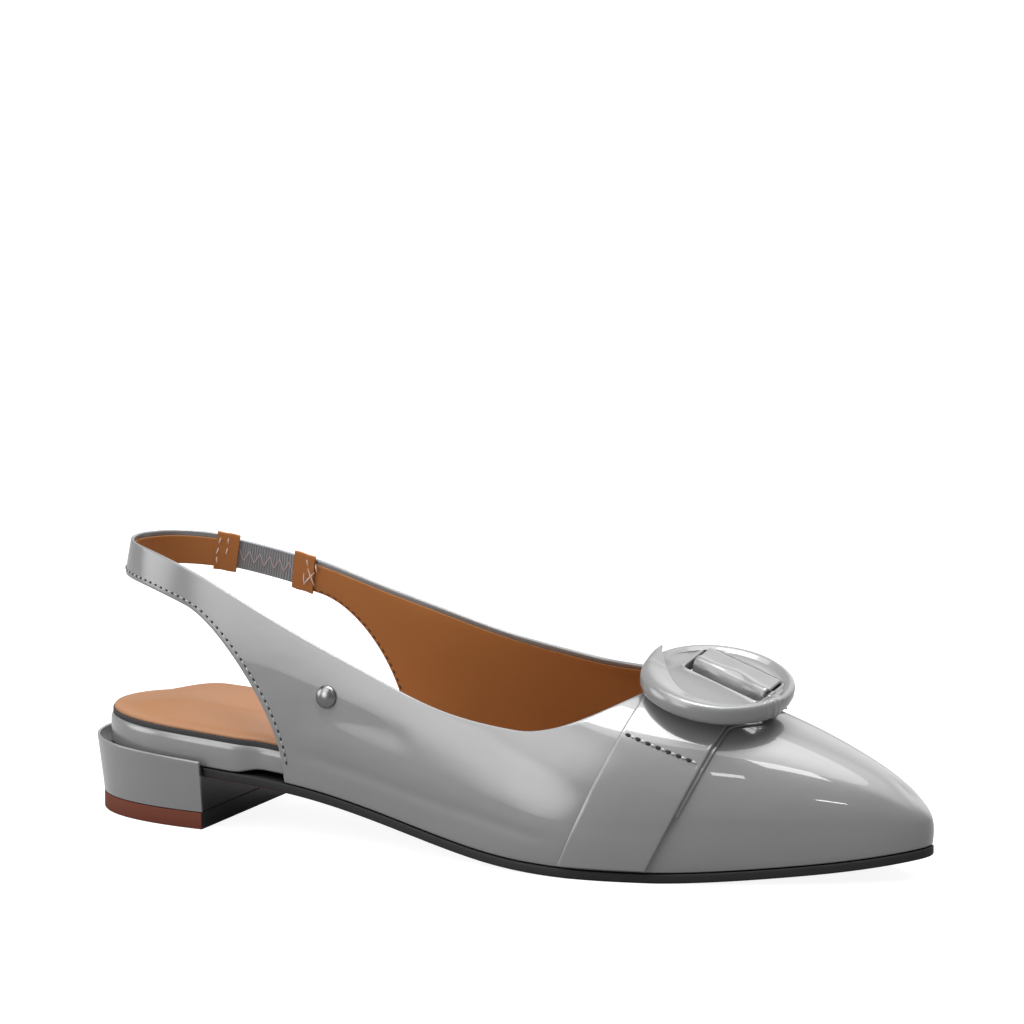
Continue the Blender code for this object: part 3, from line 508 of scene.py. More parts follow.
def shell(strip, columns, near, far, shape):
    """Closed wall between two depths under the last's surface, with half round edges. shape gives
    how far the points of both faces are moved along their normals."""
    rows, low, top, closed = strip
    share = low[:, None] + (top - low)[:, None] * np.linspace(0, 1, columns)
    base = last_point(rows[:, None], share)
    normal = outward(rows[:, None], share)
    outer = base + normal * (shape(base) - near)[..., None]
    inner = base + normal * (shape(base) - far)[..., None]
    radius = (far - near) / 2
    away = away_from(outer[:, -1], outer[:, -2], normal[:, -1])
    apex = np.flatnonzero(closed)[[0, -1]] if closed.any() else np.zeros(0, int)
    away[apex] = unit(np.stack([-np.ones(apex.size), np.zeros(apex.size),
                                -ridge_slope(rows[apex])], -1))
    top_bead = half_round(outer[:, -1], away, normal[:, -1], radius, EDGE_STEPS)
    low_bead = bead(outer[:, 0], outer[:, 1], normal[:, 0], radius)
    points = np.concatenate([outer, top_bead, inner[:, ::-1], low_bead[:, ::-1], outer[:, :1]], 1)
    index = np.arange(points.shape[0] * points.shape[1]).reshape(points.shape[:2])
    keep = np.ones((points.shape[0] - 1, points.shape[1] - 1), bool)
    both = closed[:-1] & closed[1:]
    keep[both, columns - 1:columns + EDGE_STEPS] = False
    faces = [*quads(index, keep)]
    for end in (0, -1):
        faces += end_faces(index[end], columns, EDGE_STEPS, EDGE_STEPS)
    return points.reshape(-1, 3), faces


def wear_group():
    """Node group: the colour darkened by broad noise, and the roughness raised by it."""
    group = bpy.data.node_groups.new("worn_tone", "ShaderNodeTree")
    for name, kind, value in (("Color", "NodeSocketColor", (1, 1, 1, 1)),
                              ("Scale", "NodeSocketFloat", 20.0),
                              ("Shade", "NodeSocketFloat", 0.05),
                              ("Base Roughness", "NodeSocketFloat", 0.3),
                              ("Dulling", "NodeSocketFloat", 0.05)):
        group.interface.new_socket(name, in_out="INPUT", socket_type=kind).default_value = value
    group.interface.new_socket("Color", in_out="OUTPUT", socket_type="NodeSocketColor")
    group.interface.new_socket("Roughness", in_out="OUTPUT", socket_type="NodeSocketFloat")
    nodes, links = group.nodes, group.links
    given, result = nodes.new("NodeGroupInput"), nodes.new("NodeGroupOutput")
    place, noise = nodes.new("ShaderNodeTexCoord"), nodes.new("ShaderNodeTexNoise")
    noise.inputs["Detail"].default_value = 4.0
    dark, shade, dull = (nodes.new("ShaderNodeMath") for _ in range(3))
    dark.operation, shade.operation, dull.operation = "MULTIPLY", "SUBTRACT", "MULTIPLY_ADD"
    shade.inputs[0].default_value = 1.0
    tint = nodes.new("ShaderNodeVectorMath")
    tint.operation = "SCALE"
    links.new(place.outputs["Object"], noise.inputs["Vector"])
    links.new(given.outputs["Scale"], noise.inputs["Scale"])
    links.new(noise.outputs["Fac"], dark.inputs[0])
    links.new(given.outputs["Shade"], dark.inputs[1])
    links.new(dark.outputs["Value"], shade.inputs[1])
    links.new(given.outputs["Color"], tint.inputs[0])
    links.new(shade.outputs["Value"], tint.inputs["Scale"])
    links.new(noise.outputs["Fac"], dull.inputs[0])
    links.new(given.outputs["Dulling"], dull.inputs[1])
    links.new(given.outputs["Base Roughness"], dull.inputs[2])
    links.new(tint.outputs["Vector"], result.inputs["Color"])
    links.new(dull.outputs["Value"], result.inputs["Roughness"])
    return group


def relief_group():
    """Node group: height made of broad noise for pulled leather and fine noise for its grain."""
    group = bpy.data.node_groups.new("leather_relief", "ShaderNodeTree")
    for name, value in (("Wave Scale", 40.0), ("Wave Depth", 0.5),
                        ("Grain Scale", 900.0), ("Grain Depth", 0.1)):
        socket = group.interface.new_socket(name, in_out="INPUT", socket_type="NodeSocketFloat")
        socket.default_value = value
    group.interface.new_socket("Height", in_out="OUTPUT", socket_type="NodeSocketFloat")
    nodes, links = group.nodes, group.links
    given, result = nodes.new("NodeGroupInput"), nodes.new("NodeGroupOutput")
    place = nodes.new("ShaderNodeTexCoord")
    total = nodes.new("ShaderNodeMath")
    for slot, word in enumerate(("Wave", "Grain")):
        noise, scaled = nodes.new("ShaderNodeTexNoise"), nodes.new("ShaderNodeMath")
        scaled.operation = "MULTIPLY"
        links.new(place.outputs["Object"], noise.inputs["Vector"])
        links.new(given.outputs[word + " Scale"], noise.inputs["Scale"])
        links.new(noise.outputs["Fac"], scaled.inputs[0])
        links.new(given.outputs[word + " Depth"], scaled.inputs[1])
        links.new(scaled.outputs["Value"], total.inputs[slot])
    links.new(total.outputs["Value"], result.inputs["Height"])
    return group


worn_tone = wear_group()
leather_relief = relief_group()


def leather(name, colour, roughness, shade, dulling, relief, bump):
    """A leather material: worn tone to Base Color and Roughness, leather relief to a bump.
    relief gives wave scale, wave depth, grain scale and grain depth."""
    material, shader = plain_material(name, colour, roughness)
    nodes, links = material.node_tree.nodes, material.node_tree.links
    tone, height, lift = (nodes.new(kind) for kind in
                          ("ShaderNodeGroup", "ShaderNodeGroup", "ShaderNodeBump"))
    tone.node_tree, height.node_tree = worn_tone, leather_relief
    tone.inputs["Color"].default_value = (*colour, 1.0)
    tone.inputs["Shade"].default_value = shade
    tone.inputs["Base Roughness"].default_value = roughness
    tone.inputs["Dulling"].default_value = dulling
    for socket, value in zip(("Wave Scale", "Wave Depth", "Grain Scale", "Grain Depth"), relief):
        height.inputs[socket].default_value = value
    lift.inputs["Distance"].default_value = bump
    links.new(tone.outputs["Color"], shader.inputs["Base Color"])
    links.new(tone.outputs["Roughness"], shader.inputs["Roughness"])
    links.new(height.outputs["Height"], lift.inputs["Height"])
    links.new(lift.outputs["Normal"], shader.inputs["Normal"])
    return material, shader


PATENT_COLOUR = (0.160, 0.161, 0.163)
patent, patent_shader = leather("grey_patent", PATENT_COLOUR, 0.32, 0.08, 0.05,
                                (38.0, 1.0, 170.0, 0.170), 0.0006)
patent_shader.inputs["Coat Weight"].default_value = 1.0
patent_shader.inputs["Coat Roughness"].default_value = 0.03
patent_shader.inputs["Coat IOR"].default_value = 1.5

# Creases pulled into the lateral side: line in side view (x, z), half width, rise
CREASES = (
    (((0.044, 0.0262), (0.058, 0.0249), (0.077, 0.0216), (0.098, 0.0174), (0.121, 0.0138),
      (0.131, 0.0119), (0.148, 0.0100)), 0.0016, -0.00020),
    (((0.050, 0.0300), (0.072, 0.0290), (0.090, 0.0255), (0.107, 0.0222), (0.126, 0.0195)),
     0.0042, 0.00014),
    (((0.050, 0.0400), (0.075, 0.0370), (0.095, 0.0330)), 0.0035, -0.00014),
    (((0.178, 0.0205), (0.194, 0.0190), (0.212, 0.0160)), 0.0030, 0.00014),
)


def creases(point):
    """Soft troughs and ridges: each is its rise times a Gaussian of the height over its line,
    eased out over a fifth of its length at both ends."""
    x, z = point[..., 0], point[..., 2]
    total = np.zeros(x.shape)
    for line, width, rise in CREASES:
        line_x, line_z = np.array(line).T
        share = (x - line_x[0]) / (line_x[-1] - line_x[0])
        gap = z - open_curve(line_x, line_z, x)
        total = total + rise * np.exp(-(gap / width)**2) * ease(5 * share) * ease(5 - 5 * share)
    return np.where(point[..., 1] < 0, total, 0)


wall = wall_strip(ROLL, ROLL, END_GAP)
points, faces = shell(wall, WALL_COLUMNS, 0.0, PATENT_THICK, creases)
upper = make_piece("upper_patent", points, faces, [patent], CREASE_ANGLE, WALL_MERGE)
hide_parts("upper")


# Lining. Thin tan leather glued inside the upper; it stops short of the rolled patent edge, so a
# grey band shows above it.
LINING_GAP = 0.00004
LINING_THICK = 0.00034
LINING_INSET = 0.0017
LINING_LOW = 0.0004
TAN_COLOUR = (0.370, 0.142, 0.038)
LINING_COLUMNS = 18
LINING_LAP = 0.0008     # the lining runs this far under the elastic
FOLD_LENGTH = 0.0056
FOLD_LAP = 0.0012       # the folded ends run this far over the elastic
FOLD_THICK = 0.0007
FOLD_DEPTH = PATENT_THICK + LINING_THICK
FOLD_PROUD, FOLD_LOW = 0.0008, 0.0001     # past the strap's top and lower edge
FOLD_STEPS, FOLD_COLUMNS = 40, 14
FOLD_WAVE, FOLD_RIPPLES, FOLD_SET = 0.00012, 9.0, 0.00015
lining_leather, lining_shader = leather("tan_lining", TAN_COLOUR, 0.52, 0.22, 0.12,
                                        (60.0, 0.6, 1500.0, 0.10), 0.0003)
lining_shader.inputs["Specular IOR Level"].default_value = 0.3
lining_strip = wall_strip(LINING_INSET, LINING_LOW, -LINING_LAP)
lining_depth = PATENT_THICK + LINING_GAP
parts = [shell(lining_strip, LINING_COLUMNS, lining_depth, lining_depth + LINING_THICK, creases)]
for gore_end, forward in zip(GORE_X, (-1, 1)):
    ends = [strap_row(1, gore_end + forward * step / LENGTH) for step in (-FOLD_LAP, FOLD_LENGTH)]
    medial = np.linspace(*ends, FOLD_STEPS)
    # both edges wave in and out, as shares of the rib
    wavy = 4 * (FOLD_WAVE * np.sin(FOLD_RIPPLES * np.linspace(0, 1, FOLD_STEPS) + 2) - FOLD_SET)
    strip = (LOOP - medial, low_share(1, medial, -FOLD_LOW) + wavy,
             top_share(1, medial, -FOLD_PROUD) - wavy, np.zeros(FOLD_STEPS, bool))
    parts.append(shell(strip, FOLD_COLUMNS, FOLD_DEPTH, FOLD_DEPTH + FOLD_THICK, flat))
points, faces = zip(*parts)
counts = np.cumsum([0] + [len(part) for part in points])
faces = [face + count for part, count in zip(faces, counts) for face in part]
lining = make_piece("upper_lining", np.concatenate(points), faces, [lining_leather],
                    CREASE_ANGLE, WALL_MERGE)


# Elastic. A short woven tape let into the medial run of the strap, with cross ribs on both faces
# and a zigzag of mauve thread down its middle.
GORE_THICK = 0.0010
GORE_INSET = 0.0008
RIBS = 26
RIB_RISE = 0.00012
RIB_POINTS = 8
TAPE_COLUMNS = 12
WALL_THICK = 0.0015

# The tape's middle surface lies half the wall under the last; a cosine rib rises on both faces
along = np.linspace(0, 1, RIBS * RIB_POINTS + 1)
gore_rear, gore_front = strap_row(1, GORE_X[0]), strap_row(1, GORE_X[1])
rows = gore_front + (gore_rear - gore_front) * along
low, top = low_share(1, rows), top_share(1, rows)
narrow = GORE_INSET / STRAP_WIDTH
across = narrow + (1 - 2 * narrow) * np.linspace(0, 1, TAPE_COLUMNS)
share = low[:, None] + (top - low)[:, None] * across
turned = np.broadcast_to((LOOP - rows)[:, None], share.shape)
normal = outward(turned, share)
middle = last_point(turned, share) - normal * WALL_THICK / 2
half = GORE_THICK / 2 + RIB_RISE * np.cos(2 * np.pi * RIBS * along)[:, None]
outer, inner = middle + normal * half[..., None], middle - normal * half[..., None]
walls = np.concatenate([outer, inner[:, ::-1], outer[:, :1]], 1)
index = np.arange(walls.shape[0] * walls.shape[1]).reshape(walls.shape[:2])
faces = [*quads(index)]
for end in (0, -1):
    ring = index[end]
    faces += [*quads(np.stack([ring[:TAPE_COLUMNS], ring[TAPE_COLUMNS:-1][::-1]]))]
elastic_cloth, elastic_shader = leather("grey_elastic", (0.235, 0.255, 0.275), 0.8, 0.2, 0.05,
                                        (200.0, 0.3, 2500.0, 0.5), 0.0002)
elastic_shader.inputs["Sheen Weight"].default_value = 0.2
elastic = make_piece("elastic_tape", walls.reshape(-1, 3), faces, [elastic_cloth])
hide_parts("elastic_gore")


# Stitching. Round waxed thread sewn through the wall: white outside, brown inside, each stitch
# going down into a needle hole at both its ends, whose shade is painted as a small near-black mark.
STITCH_PITCH = 0.0024
STITCH_LENGTH = 0.0016
THREAD_RADIUS = 0.00021
STITCH_INSET = 0.0016
STITCH_RISE, STITCH_DIP = 0.00012, 0.0002
HOLE_LENGTH, HOLE_RADIUS = 0.0010, 0.00034
INSIDE_INSET, INSIDE_DIP = 0.0009, 0.0001
FIRST_ROW = 0.01        # rows between a corner and its first stitch
LAST_ROW = 0.05         # rows between the last stitch and the elastic


def tubes(centres, radii, upright, sides=6):
    """Closed tubes along rows of centres, one a stitch: rings of the given radii square to the
    way along, and a pole vertex at each end."""
    count, steps = radii.shape
    way = unit(np.gradient(centres, axis=1))
    aside = unit(np.cross(way, upright))
    raised = np.cross(aside, way)
    turn = np.linspace(0, 2 * np.pi, sides + 1)[:-1]
    ring = (np.cos(turn)[:, None] * aside[:, :, None] + np.sin(turn)[:, None] * raised[:, :, None])
    rings = centres[:, :, None] + ring * radii[:, :, None, None]
    poles = np.stack([centres[:, 0] - way[:, 0] * radii[:, :1], centres[:, -1]
                      + way[:, -1] * radii[:, -1:]], 1)
    index = np.arange(count * steps * sides).reshape(count, steps, sides)
    index = np.concatenate([index, index[..., :1]], -1)
    first = count * steps * sides + 2 * np.arange(count)[:, None]
    body = np.stack([index[:, :-1, :-1], index[:, :-1, 1:], index[:, 1:, 1:],
                     index[:, 1:, :-1]], -1).reshape(-1, 4)
    ends = [np.stack([index[:, step, 1:], index[:, step, :-1],
                      np.broadcast_to(first + side, (count, sides))], -1).reshape(-1, 3)
            for side, step in ((0, 0), (1, -1))]
    points = np.concatenate([rings.reshape(-1, 3), poles.reshape(-1, 3)])
    return points, [*body, *ends[0], *ends[1]]


def stitch_row(path, normal, pitch, length, radius, height, depth):
    """Stitches along a path: each rises as a sine to its height and dips at both its ends.
    Returns the tubes, and the points and normals of the holes between them."""
    reach = np.concatenate([[0], np.cumsum(np.linalg.norm(np.diff(path, axis=0), axis=1))])
    starts = np.arange(pitch / 2, reach[-1] - pitch / 2, pitch)
    share = np.linspace(0, 1, 7)
    places = starts[:, None] + length * share
    along = np.stack([np.interp(places, reach, path[:, axis]) for axis in range(3)], -1)
    upright = unit(np.stack([np.interp(places, reach, normal[:, axis]) for axis in range(3)], -1))
    rise = height * np.sin(np.pi * share) - depth * np.abs(2 * share - 1)**3
    centres = along + upright * rise[:, None]
    radii = radius * np.broadcast_to(0.45 + 0.55 * np.sin(np.pi * share), places.shape)
    holes = starts - (pitch - length) / 2
    at = np.stack([np.interp(holes, reach, path[:, axis]) for axis in range(3)], -1)
    up = unit(np.stack([np.interp(holes, reach, normal[:, axis]) for axis in range(3)], -1))
    way = unit(np.stack([np.interp(holes + length / 9, reach, path[:, axis])
                         for axis in range(3)], -1) - at)
    return centres, radii, upright, at, up, way


def hole_shade_marks(at, up, way, length, radius):
    """Flat near-black marks of painted shade for the needle holes: short tubes lying along the path
    with half of them sunk. Their radius falls to the ends as the root of a little over one less the
    share squared."""
    share = np.linspace(-1, 1, 5)
    centres = at[:, None] + way[:, None] * share[:, None] * length / 2
    radii = np.broadcast_to(radius * np.sqrt(1.05 - share**2), centres.shape[:2])
    return tubes(centres, radii, np.broadcast_to(up[:, None], centres.shape), 8)


def low_path(side, inset, depth, first, last):
    """Path along the lower edge of one side, drawn in by the inset, at a depth in the wall."""
    corner = quarter_row(side, inset)
    rows = corner + first + (last - corner - first) * np.linspace(0, 1, ROW_STEPS)**1.5
    share = low_share(side, rows, inset)
    normal = outward(loop_row(side, rows), share)
    return last_point(loop_row(side, rows), share) - normal * depth, normal


thread_grey = plain_material("grey_thread", (0.30, 0.30, 0.30), 0.5)[0]
thread_pale = plain_material("pale_thread", (0.62, 0.50, 0.44), 0.6)[0]
thread_mauve = plain_material("mauve_thread", (0.46, 0.36, 0.38), 0.6)[0]
thread_brown = plain_material("brown_thread", (0.040, 0.018, 0.010), 0.7)[0]
# Near-black for the needle holes: the shade inside the holes, painted on flat marks.
painted_hole_shade = plain_material("needle_hole_painted_shade", (0.012, 0.012, 0.013), 0.8)[0]
behind_gore = gore_rear + LAST_ROW - quarter_row(1, STITCH_INSET)
outer_runs = [low_path(-1, STITCH_INSET, 0.0, FIRST_ROW, BACK_ROW),
              [part[::-1] for part in low_path(1, STITCH_INSET, 0.0, behind_gore, BACK_ROW)],
              low_path(1, STITCH_INSET, 0.0, FIRST_ROW, gore_front - LAST_ROW)]
rows = [stitch_row(path, normal, STITCH_PITCH, STITCH_LENGTH, THREAD_RADIUS, STITCH_RISE, STITCH_DIP)
        for path, normal in outer_runs]
centres, radii, upright, at, up, way = (np.concatenate(part) for part in zip(*rows))
points, faces = tubes(centres, radii, upright)
edge_thread = make_piece("edge_thread", points, faces, [thread_grey])
points, faces = hole_shade_marks(at, up, way, HOLE_LENGTH, HOLE_RADIUS)
edge_hole_shade = make_piece("edge_hole_shade", points, faces, [painted_hole_shade])
inner_depth = PATENT_THICK + LINING_GAP + LINING_THICK
inner_runs = [low_path(side, INSIDE_INSET, inner_depth, FIRST_ROW, last)
              for side, last in ((-1, BACK_ROW), (1, gore_front - LAST_ROW))]
rows = [stitch_row(path, -normal, STITCH_PITCH, STITCH_LENGTH, THREAD_RADIUS, STITCH_RISE, INSIDE_DIP)
        for path, normal in inner_runs]
centres, radii, upright, at, up, way = (np.concatenate(part) for part in zip(*rows))
points, faces = tubes(centres, radii, upright)
inside_thread = make_piece("inside_thread", points, faces, [thread_brown])

# Hand stitches over the rear and the front folded end. Each goes from one place to another, and a
# place is metres past the elastic's end and a share of the strap's width
END_STITCHES = (
    ((0.0022, 0.96, 0.0020, 0.78), (0.0044, 0.95, 0.0048, 0.74), (0.0046, 0.62, 0.0052, 0.40),
     (0.0050, 0.34, 0.0046, 0.12), (0.0020, 0.66, 0.0023, 0.45)),
    ((0.0030, 0.95, 0.0036, 0.76), (0.0034, 0.72, 0.0062, 0.20), (0.0058, 0.62, 0.0026, 0.16),
     (0.0024, 0.52, 0.0028, 0.14), (0.0060, 0.88, 0.0066, 0.66)),
)
END_THREAD_RADIUS = 0.00024
END_STITCH_RISE, END_STITCH_SUNK = 0.00020, 0.00012
ZIGZAGS = 6
ZIGZAG_SWING = 0.17     # share of the strap's width
ZIGZAG_MARGIN = 0.03    # share of the elastic's length left free at both ends
ZIGZAG_STEPS = 241
ZIGZAG_RADIUS = 0.00016
ZIGZAG_LIFT = 0.00058   # from the tape's middle


def strap_place(metres, width, depth):
    """Point on the medial strap: metres along x from its heel back, share of the strap's width
    from its lower edge, and depth in the wall; with the normal that faces the foot."""
    rows = np.interp(-metres, -strap_x, strap_rows)
    low, top = np.interp(rows, strap_rows, strap_low), np.interp(rows, strap_rows, strap_top)
    share = low + (top - low) * width
    normal = outward(LOOP - rows, share)
    return last_point(LOOP - rows, share) - normal * depth[..., None], -normal


strap_rows = np.linspace(gore_front - 1.2, BACK_ROW, 300)
strap_low, strap_top = low_share(1, strap_rows), top_share(1, strap_rows)
strap_x = (last_point(LOOP - strap_rows, strap_top) + ORIGIN)[:, 0]
share = np.linspace(0, 1, 9)
stitches = []
for gore_end, forward, ends in zip(GORE_X, (-1, 1), END_STITCHES):
    first_x, first_w, last_x, last_w = np.array(ends).T[:, :, None]
    metres = gore_end * LENGTH + forward * (first_x + (last_x - first_x) * share)
    depth = (FOLD_DEPTH + FOLD_THICK + END_STITCH_RISE * np.sin(np.pi * share) - END_STITCH_SUNK
             + 0 * metres)
    stitches.append(strap_place(metres, first_w + (last_w - first_w) * share, depth))
centres = np.concatenate([part[0] for part in stitches])
upright = np.concatenate([part[1] for part in stitches])
radii = END_THREAD_RADIUS * (0.4 + 0.6 * np.sin(np.pi * share))
radii = np.broadcast_to(radii, centres.shape[:2])
points, faces = tubes(centres, radii, upright, 8)
end_thread = make_piece("end_thread", points, faces, [thread_pale])

# A zigzag is the arcsine of a sine, here a little rounded at its turns
zigzag = np.linspace(0, 1, ZIGZAG_STEPS)
along_gore = ZIGZAG_MARGIN + (1 - 2 * ZIGZAG_MARGIN) * zigzag
metres = (GORE_X[0] + (GORE_X[1] - GORE_X[0]) * along_gore) * LENGTH
swing = 0.5 + ZIGZAG_SWING * (2 / np.pi) * np.arcsin(0.98 * np.sin(2 * np.pi * ZIGZAGS * zigzag))
faces_of_tape = [strap_place(metres, swing, np.full(ZIGZAG_STEPS, WALL_THICK / 2 + step))
                 for step in (-ZIGZAG_LIFT, ZIGZAG_LIFT)]
centres = np.stack([part[0] for part in faces_of_tape])
upright = np.stack([part[1] for part in faces_of_tape])
points, faces = tubes(centres, np.full(centres.shape[:2], ZIGZAG_RADIUS), upright)
zigzag_thread = make_piece("elastic_zigzag", points, faces, [thread_mauve])


# Insole board. A stiff fibre board wrapped in the same patent, which shows as a rand round the
# open heel; in the closed fore part it is thin and hidden.
BOARD_THICK = 0.0095
BOARD_THIN = 0.0030
CLEAR = 0.0003
TUCK_START, TUCK_END = 0.0170, 0.0080
BOARD_TOE_ROOM, SOCK_TOE_ROOM = 0.0036, 0.0058
TOE_ROOM_FROM, TOE_ROOM_RUN = 0.88, 0.12
THIN_FROM, THIN_RUN = 0.24, 0.36
BACK_ROOM, BACK_RUN = 0.0014, 0.030


def tuck(x, start):
    """How far a layer has gone inside the wall: a smooth step behind the quarter's rear edge."""
    return ease((x - start + TUCK_START) / (TUCK_START - TUCK_END))


def layer_inset(x, side, extra, toe_room):
    """Inset of a layer: its own, room at the toe and at the heel back, and the wall's thickness
    once inside it."""
    room = toe_room * ease((x / LENGTH - TOE_ROOM_FROM) / TOE_ROOM_RUN)
    room = room + BACK_ROOM * ease(1 - x / BACK_RUN)
    return extra + room + (WALL_THICK + CLEAR) * tuck(x, QUARTER_X[side] * LENGTH)


def board_low(x):
    """Underside of the board: the sole line, then above the turned-in leather."""
    return sole_line(x) + (WALL_THICK + CLEAR) * tuck(x, QUARTER_X[-1] * LENGTH)


def board_high(x):
    """Top of the board: its thickness over the sole line, blended to thin in the fore part."""
    thin = ease((x / LENGTH - THIN_FROM) / THIN_RUN)
    low = board_low(x)
    return low + BOARD_THICK + (BOARD_THIN - BOARD_THICK) * thin - (low - sole_line(x)) * (1 - thin)


def outline_layers(rows, profile):
    """Lateral and medial point grids: profile(x, side) gives insets and heights, one a step."""
    grids = []
    for side in (-1, 1):
        turned = loop_row(side, rows)
        insets, heights = profile(foot_line(turned)[0], side)
        x, y = foot_line(turned[None, :], -insets)[:2]
        grids.append(np.stack([x, y, heights + 0 * x], -1) - ORIGIN)
    return grids


def stacked(lateral, medial, across, crown=None):
    """Closed solid from outline grids (steps, rows): both sides, both ends, and caps across the
    first and last step. crown(x, s) may raise the last cap, s from lateral 0 to medial 1."""
    s = np.linspace(0, 1, across)[:, None]
    ends = [lateral[:, end, None] * (1 - s) + medial[:, end, None] * s for end in (0, -1)]
    caps = [lateral[step, :, None] * (1 - s) + medial[step, :, None] * s for step in (0, -1)]
    if crown is not None:
        caps[1][..., 2] += crown(caps[1][..., 0] + ORIGIN[0], s[:, 0][None, :])
    points, faces, count = [], [], 0
    for grid in (lateral, medial, *ends, *caps):
        index = count + np.arange(grid.shape[0] * grid.shape[1]).reshape(grid.shape[:2])
        points.append(grid.reshape(-1, 3))
        faces += [*quads(index)]
        count += index.size
    return np.concatenate(points), faces


def rounded(low, high, low_radius, high_radius, inset, steps=6):
    """Insets and heights round a slab's edge: a quarter circle at the foot and one at the top."""
    turn = np.linspace(0, np.pi / 2, steps)[:, None]
    insets = np.concatenate([inset + low_radius * (1 - np.sin(turn)),
                             inset + high_radius * (1 - np.cos(turn))])
    heights = np.concatenate([low + low_radius * (1 - np.cos(turn)),
                              high - high_radius * (1 - np.sin(turn))])
    return insets, heights


ROUND_TOP = 0.0030
ROUND_FOOT = 0.0007
ROUND_FADE_FROM, ROUND_FADE_RUN = 0.5, 0.3
BOARD_ACROSS = 15
SLAB_TOE_ROW = 0.6
HEEL_ROW = 11           # behind this row the stations lie closer
slab_rows = np.concatenate([np.linspace(SLAB_TOE_ROW, 1, 6)[:-1],
                            np.linspace(1, HEEL_ROW, 120)[:-1],
                            np.linspace(HEEL_ROW, BACK_ROW, 60)])


def board_profile(x, side):
    """Rounded edge of the board; the rounding fades inside the toe."""
    fade = 1 - 0.8 * ease((x / LENGTH - ROUND_FADE_FROM) / ROUND_FADE_RUN)
    return rounded(board_low(x), board_high(x), ROUND_FOOT * fade, ROUND_TOP * fade,
                   layer_inset(x, side, 0.0, BOARD_TOE_ROOM))


points, faces = stacked(*outline_layers(slab_rows, board_profile), BOARD_ACROSS)
board = make_piece("insole_board_wrap", points, faces, [patent], CREASE_ANGLE)
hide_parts("insole_board")


# Sock. A tan leather sock glued on the board over a foam heel pad, so its middle stands up in a
# soft cushion inside a flat margin; a thin dark foam edge shows under it.
SOCK_THICK = 0.0010
PAD_RISE = 0.0050
PAD_FROM, PAD_FROM_RUN = 0.010, 0.110     # shares of the length
PAD_UNTIL, PAD_UNTIL_RUN = 0.29, 0.16
PAD_FLAT, PAD_STEEP = 0.35, 2.6
SOCK_MARGIN = 0.0010
SOCK_FOOT_ROUND, SOCK_TOP_ROUND = 0.0002, 0.0006
FOAM_MARGIN = 0.0006
FOAM_SUNK = 0.0012
FOAM_ROUND = 0.0001
FOAM_ACROSS, PAD_ACROSS = 9, 61


def pad(x, s):
    """Crown of the pad: its rise times a smooth step in from both sides and from both ends."""
    across = ease((0.5 - np.abs(s - 0.5)) / 0.5 * PAD_STEEP - PAD_FLAT)
    start = ease((x / LENGTH - PAD_FROM) / PAD_FROM_RUN)
    return PAD_RISE * across * start * (1 - ease((x / LENGTH - PAD_UNTIL) / PAD_UNTIL_RUN))


def foam_profile(x, side):
    """Square edge of the foam, let into the rounded rim of the board."""
    return rounded(board_high(x) - FOAM_SUNK, board_high(x) + CLEAR, FOAM_ROUND, FOAM_ROUND,
                   layer_inset(x, side, FOAM_MARGIN, SOCK_TOE_ROOM), 3)


def sock_profile(x, side):
    """Edge of the sock: a small round at its foot and a larger one at its top."""
    low = board_high(x) + CLEAR
    return rounded(low, low + SOCK_THICK, SOCK_FOOT_ROUND, SOCK_TOP_ROUND,
                   layer_inset(x, side, SOCK_MARGIN, SOCK_TOE_ROOM))


foam_black = plain_material("foam_edge", (0.020, 0.020, 0.022), 0.8)[0]
points, faces = stacked(*outline_layers(slab_rows, foam_profile), FOAM_ACROSS)
foam = make_piece("foam_edge", points, faces, [foam_black], CREASE_ANGLE)
sock_leather = leather("tan_sock", (0.270, 0.122, 0.050), 0.50, 0.12, 0.10,
                       (50.0, 0.5, 1300.0, 0.10), 0.0003)[0]
points, faces = stacked(*outline_layers(slab_rows, sock_profile), PAD_ACROSS, pad)
sock = make_piece("insole_sock_padded", points, faces, [sock_leather], CREASE_ANGLE)
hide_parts("insole_sock")


# Heel. A low plastic block wrapped in patent, whose rolled rim holds the board; its breast is dark,
# and made black as painted shade. It stands on a red-brown rubber lift a little narrower than the
# cover, whose faces at the breast are painted black as shade.
HEEL_LENGTH = 0.0440
LIFT_THICK = 0.0050
HEEL_PROUD = 0.0025
HEEL_RIM = 0.0015
HEEL_TAPER = 0.0020
COVER_THICK = 0.00085
COVER_LEVELS = 14
COVER_LAP = 0.0002      # the cover's ends stand this far past the breast
FOOT_STEPS = 4
LIFT_ROUND = 0.0003
BREAST_DEPTH = 0.0004   # the lift's faces this near the breast are painted black, as shade
HEEL_ACROSS = 9


def front_row(x):
    """Row whose lateral foot lies at x."""
    rows = np.linspace(0, BACK_ROW, 2 * ROW_STEPS)
    return np.interp(-x, -foot_line(rows)[0], rows)


heel_rows = np.concatenate([np.linspace(front_row(HEEL_LENGTH), HEEL_ROW, 40)[:-1],
                            np.linspace(HEEL_ROW, BACK_ROW, 60)])


def squared_front(grids):
    """The same grids with their first row moved to the plane of the breast."""
    for grid in grids:
        grid[:, 0, 0] = HEEL_LENGTH - ORIGIN[0]
    return grids


def block_profile(x, side):
    """Side of the block: tapering to the ground, its top just under the board."""
    low = np.full((1, x.size), LIFT_THICK + CLEAR)
    high = (sole_line(x) - CLEAR)[None, :]
    outer = CLEAR + HEEL_PROUD - COVER_THICK
    insets = np.concatenate([low * 0 + HEEL_TAPER - outer, high * 0 - outer])
    return insets, np.concatenate([low, high])


def lift_profile(x, side):
    """Side of the lift: straight, with small rounds at both its edges."""
    return rounded(0 * x, 0 * x + LIFT_THICK, LIFT_ROUND, LIFT_ROUND,
                   HEEL_TAPER - CLEAR - HEEL_PROUD, 4)
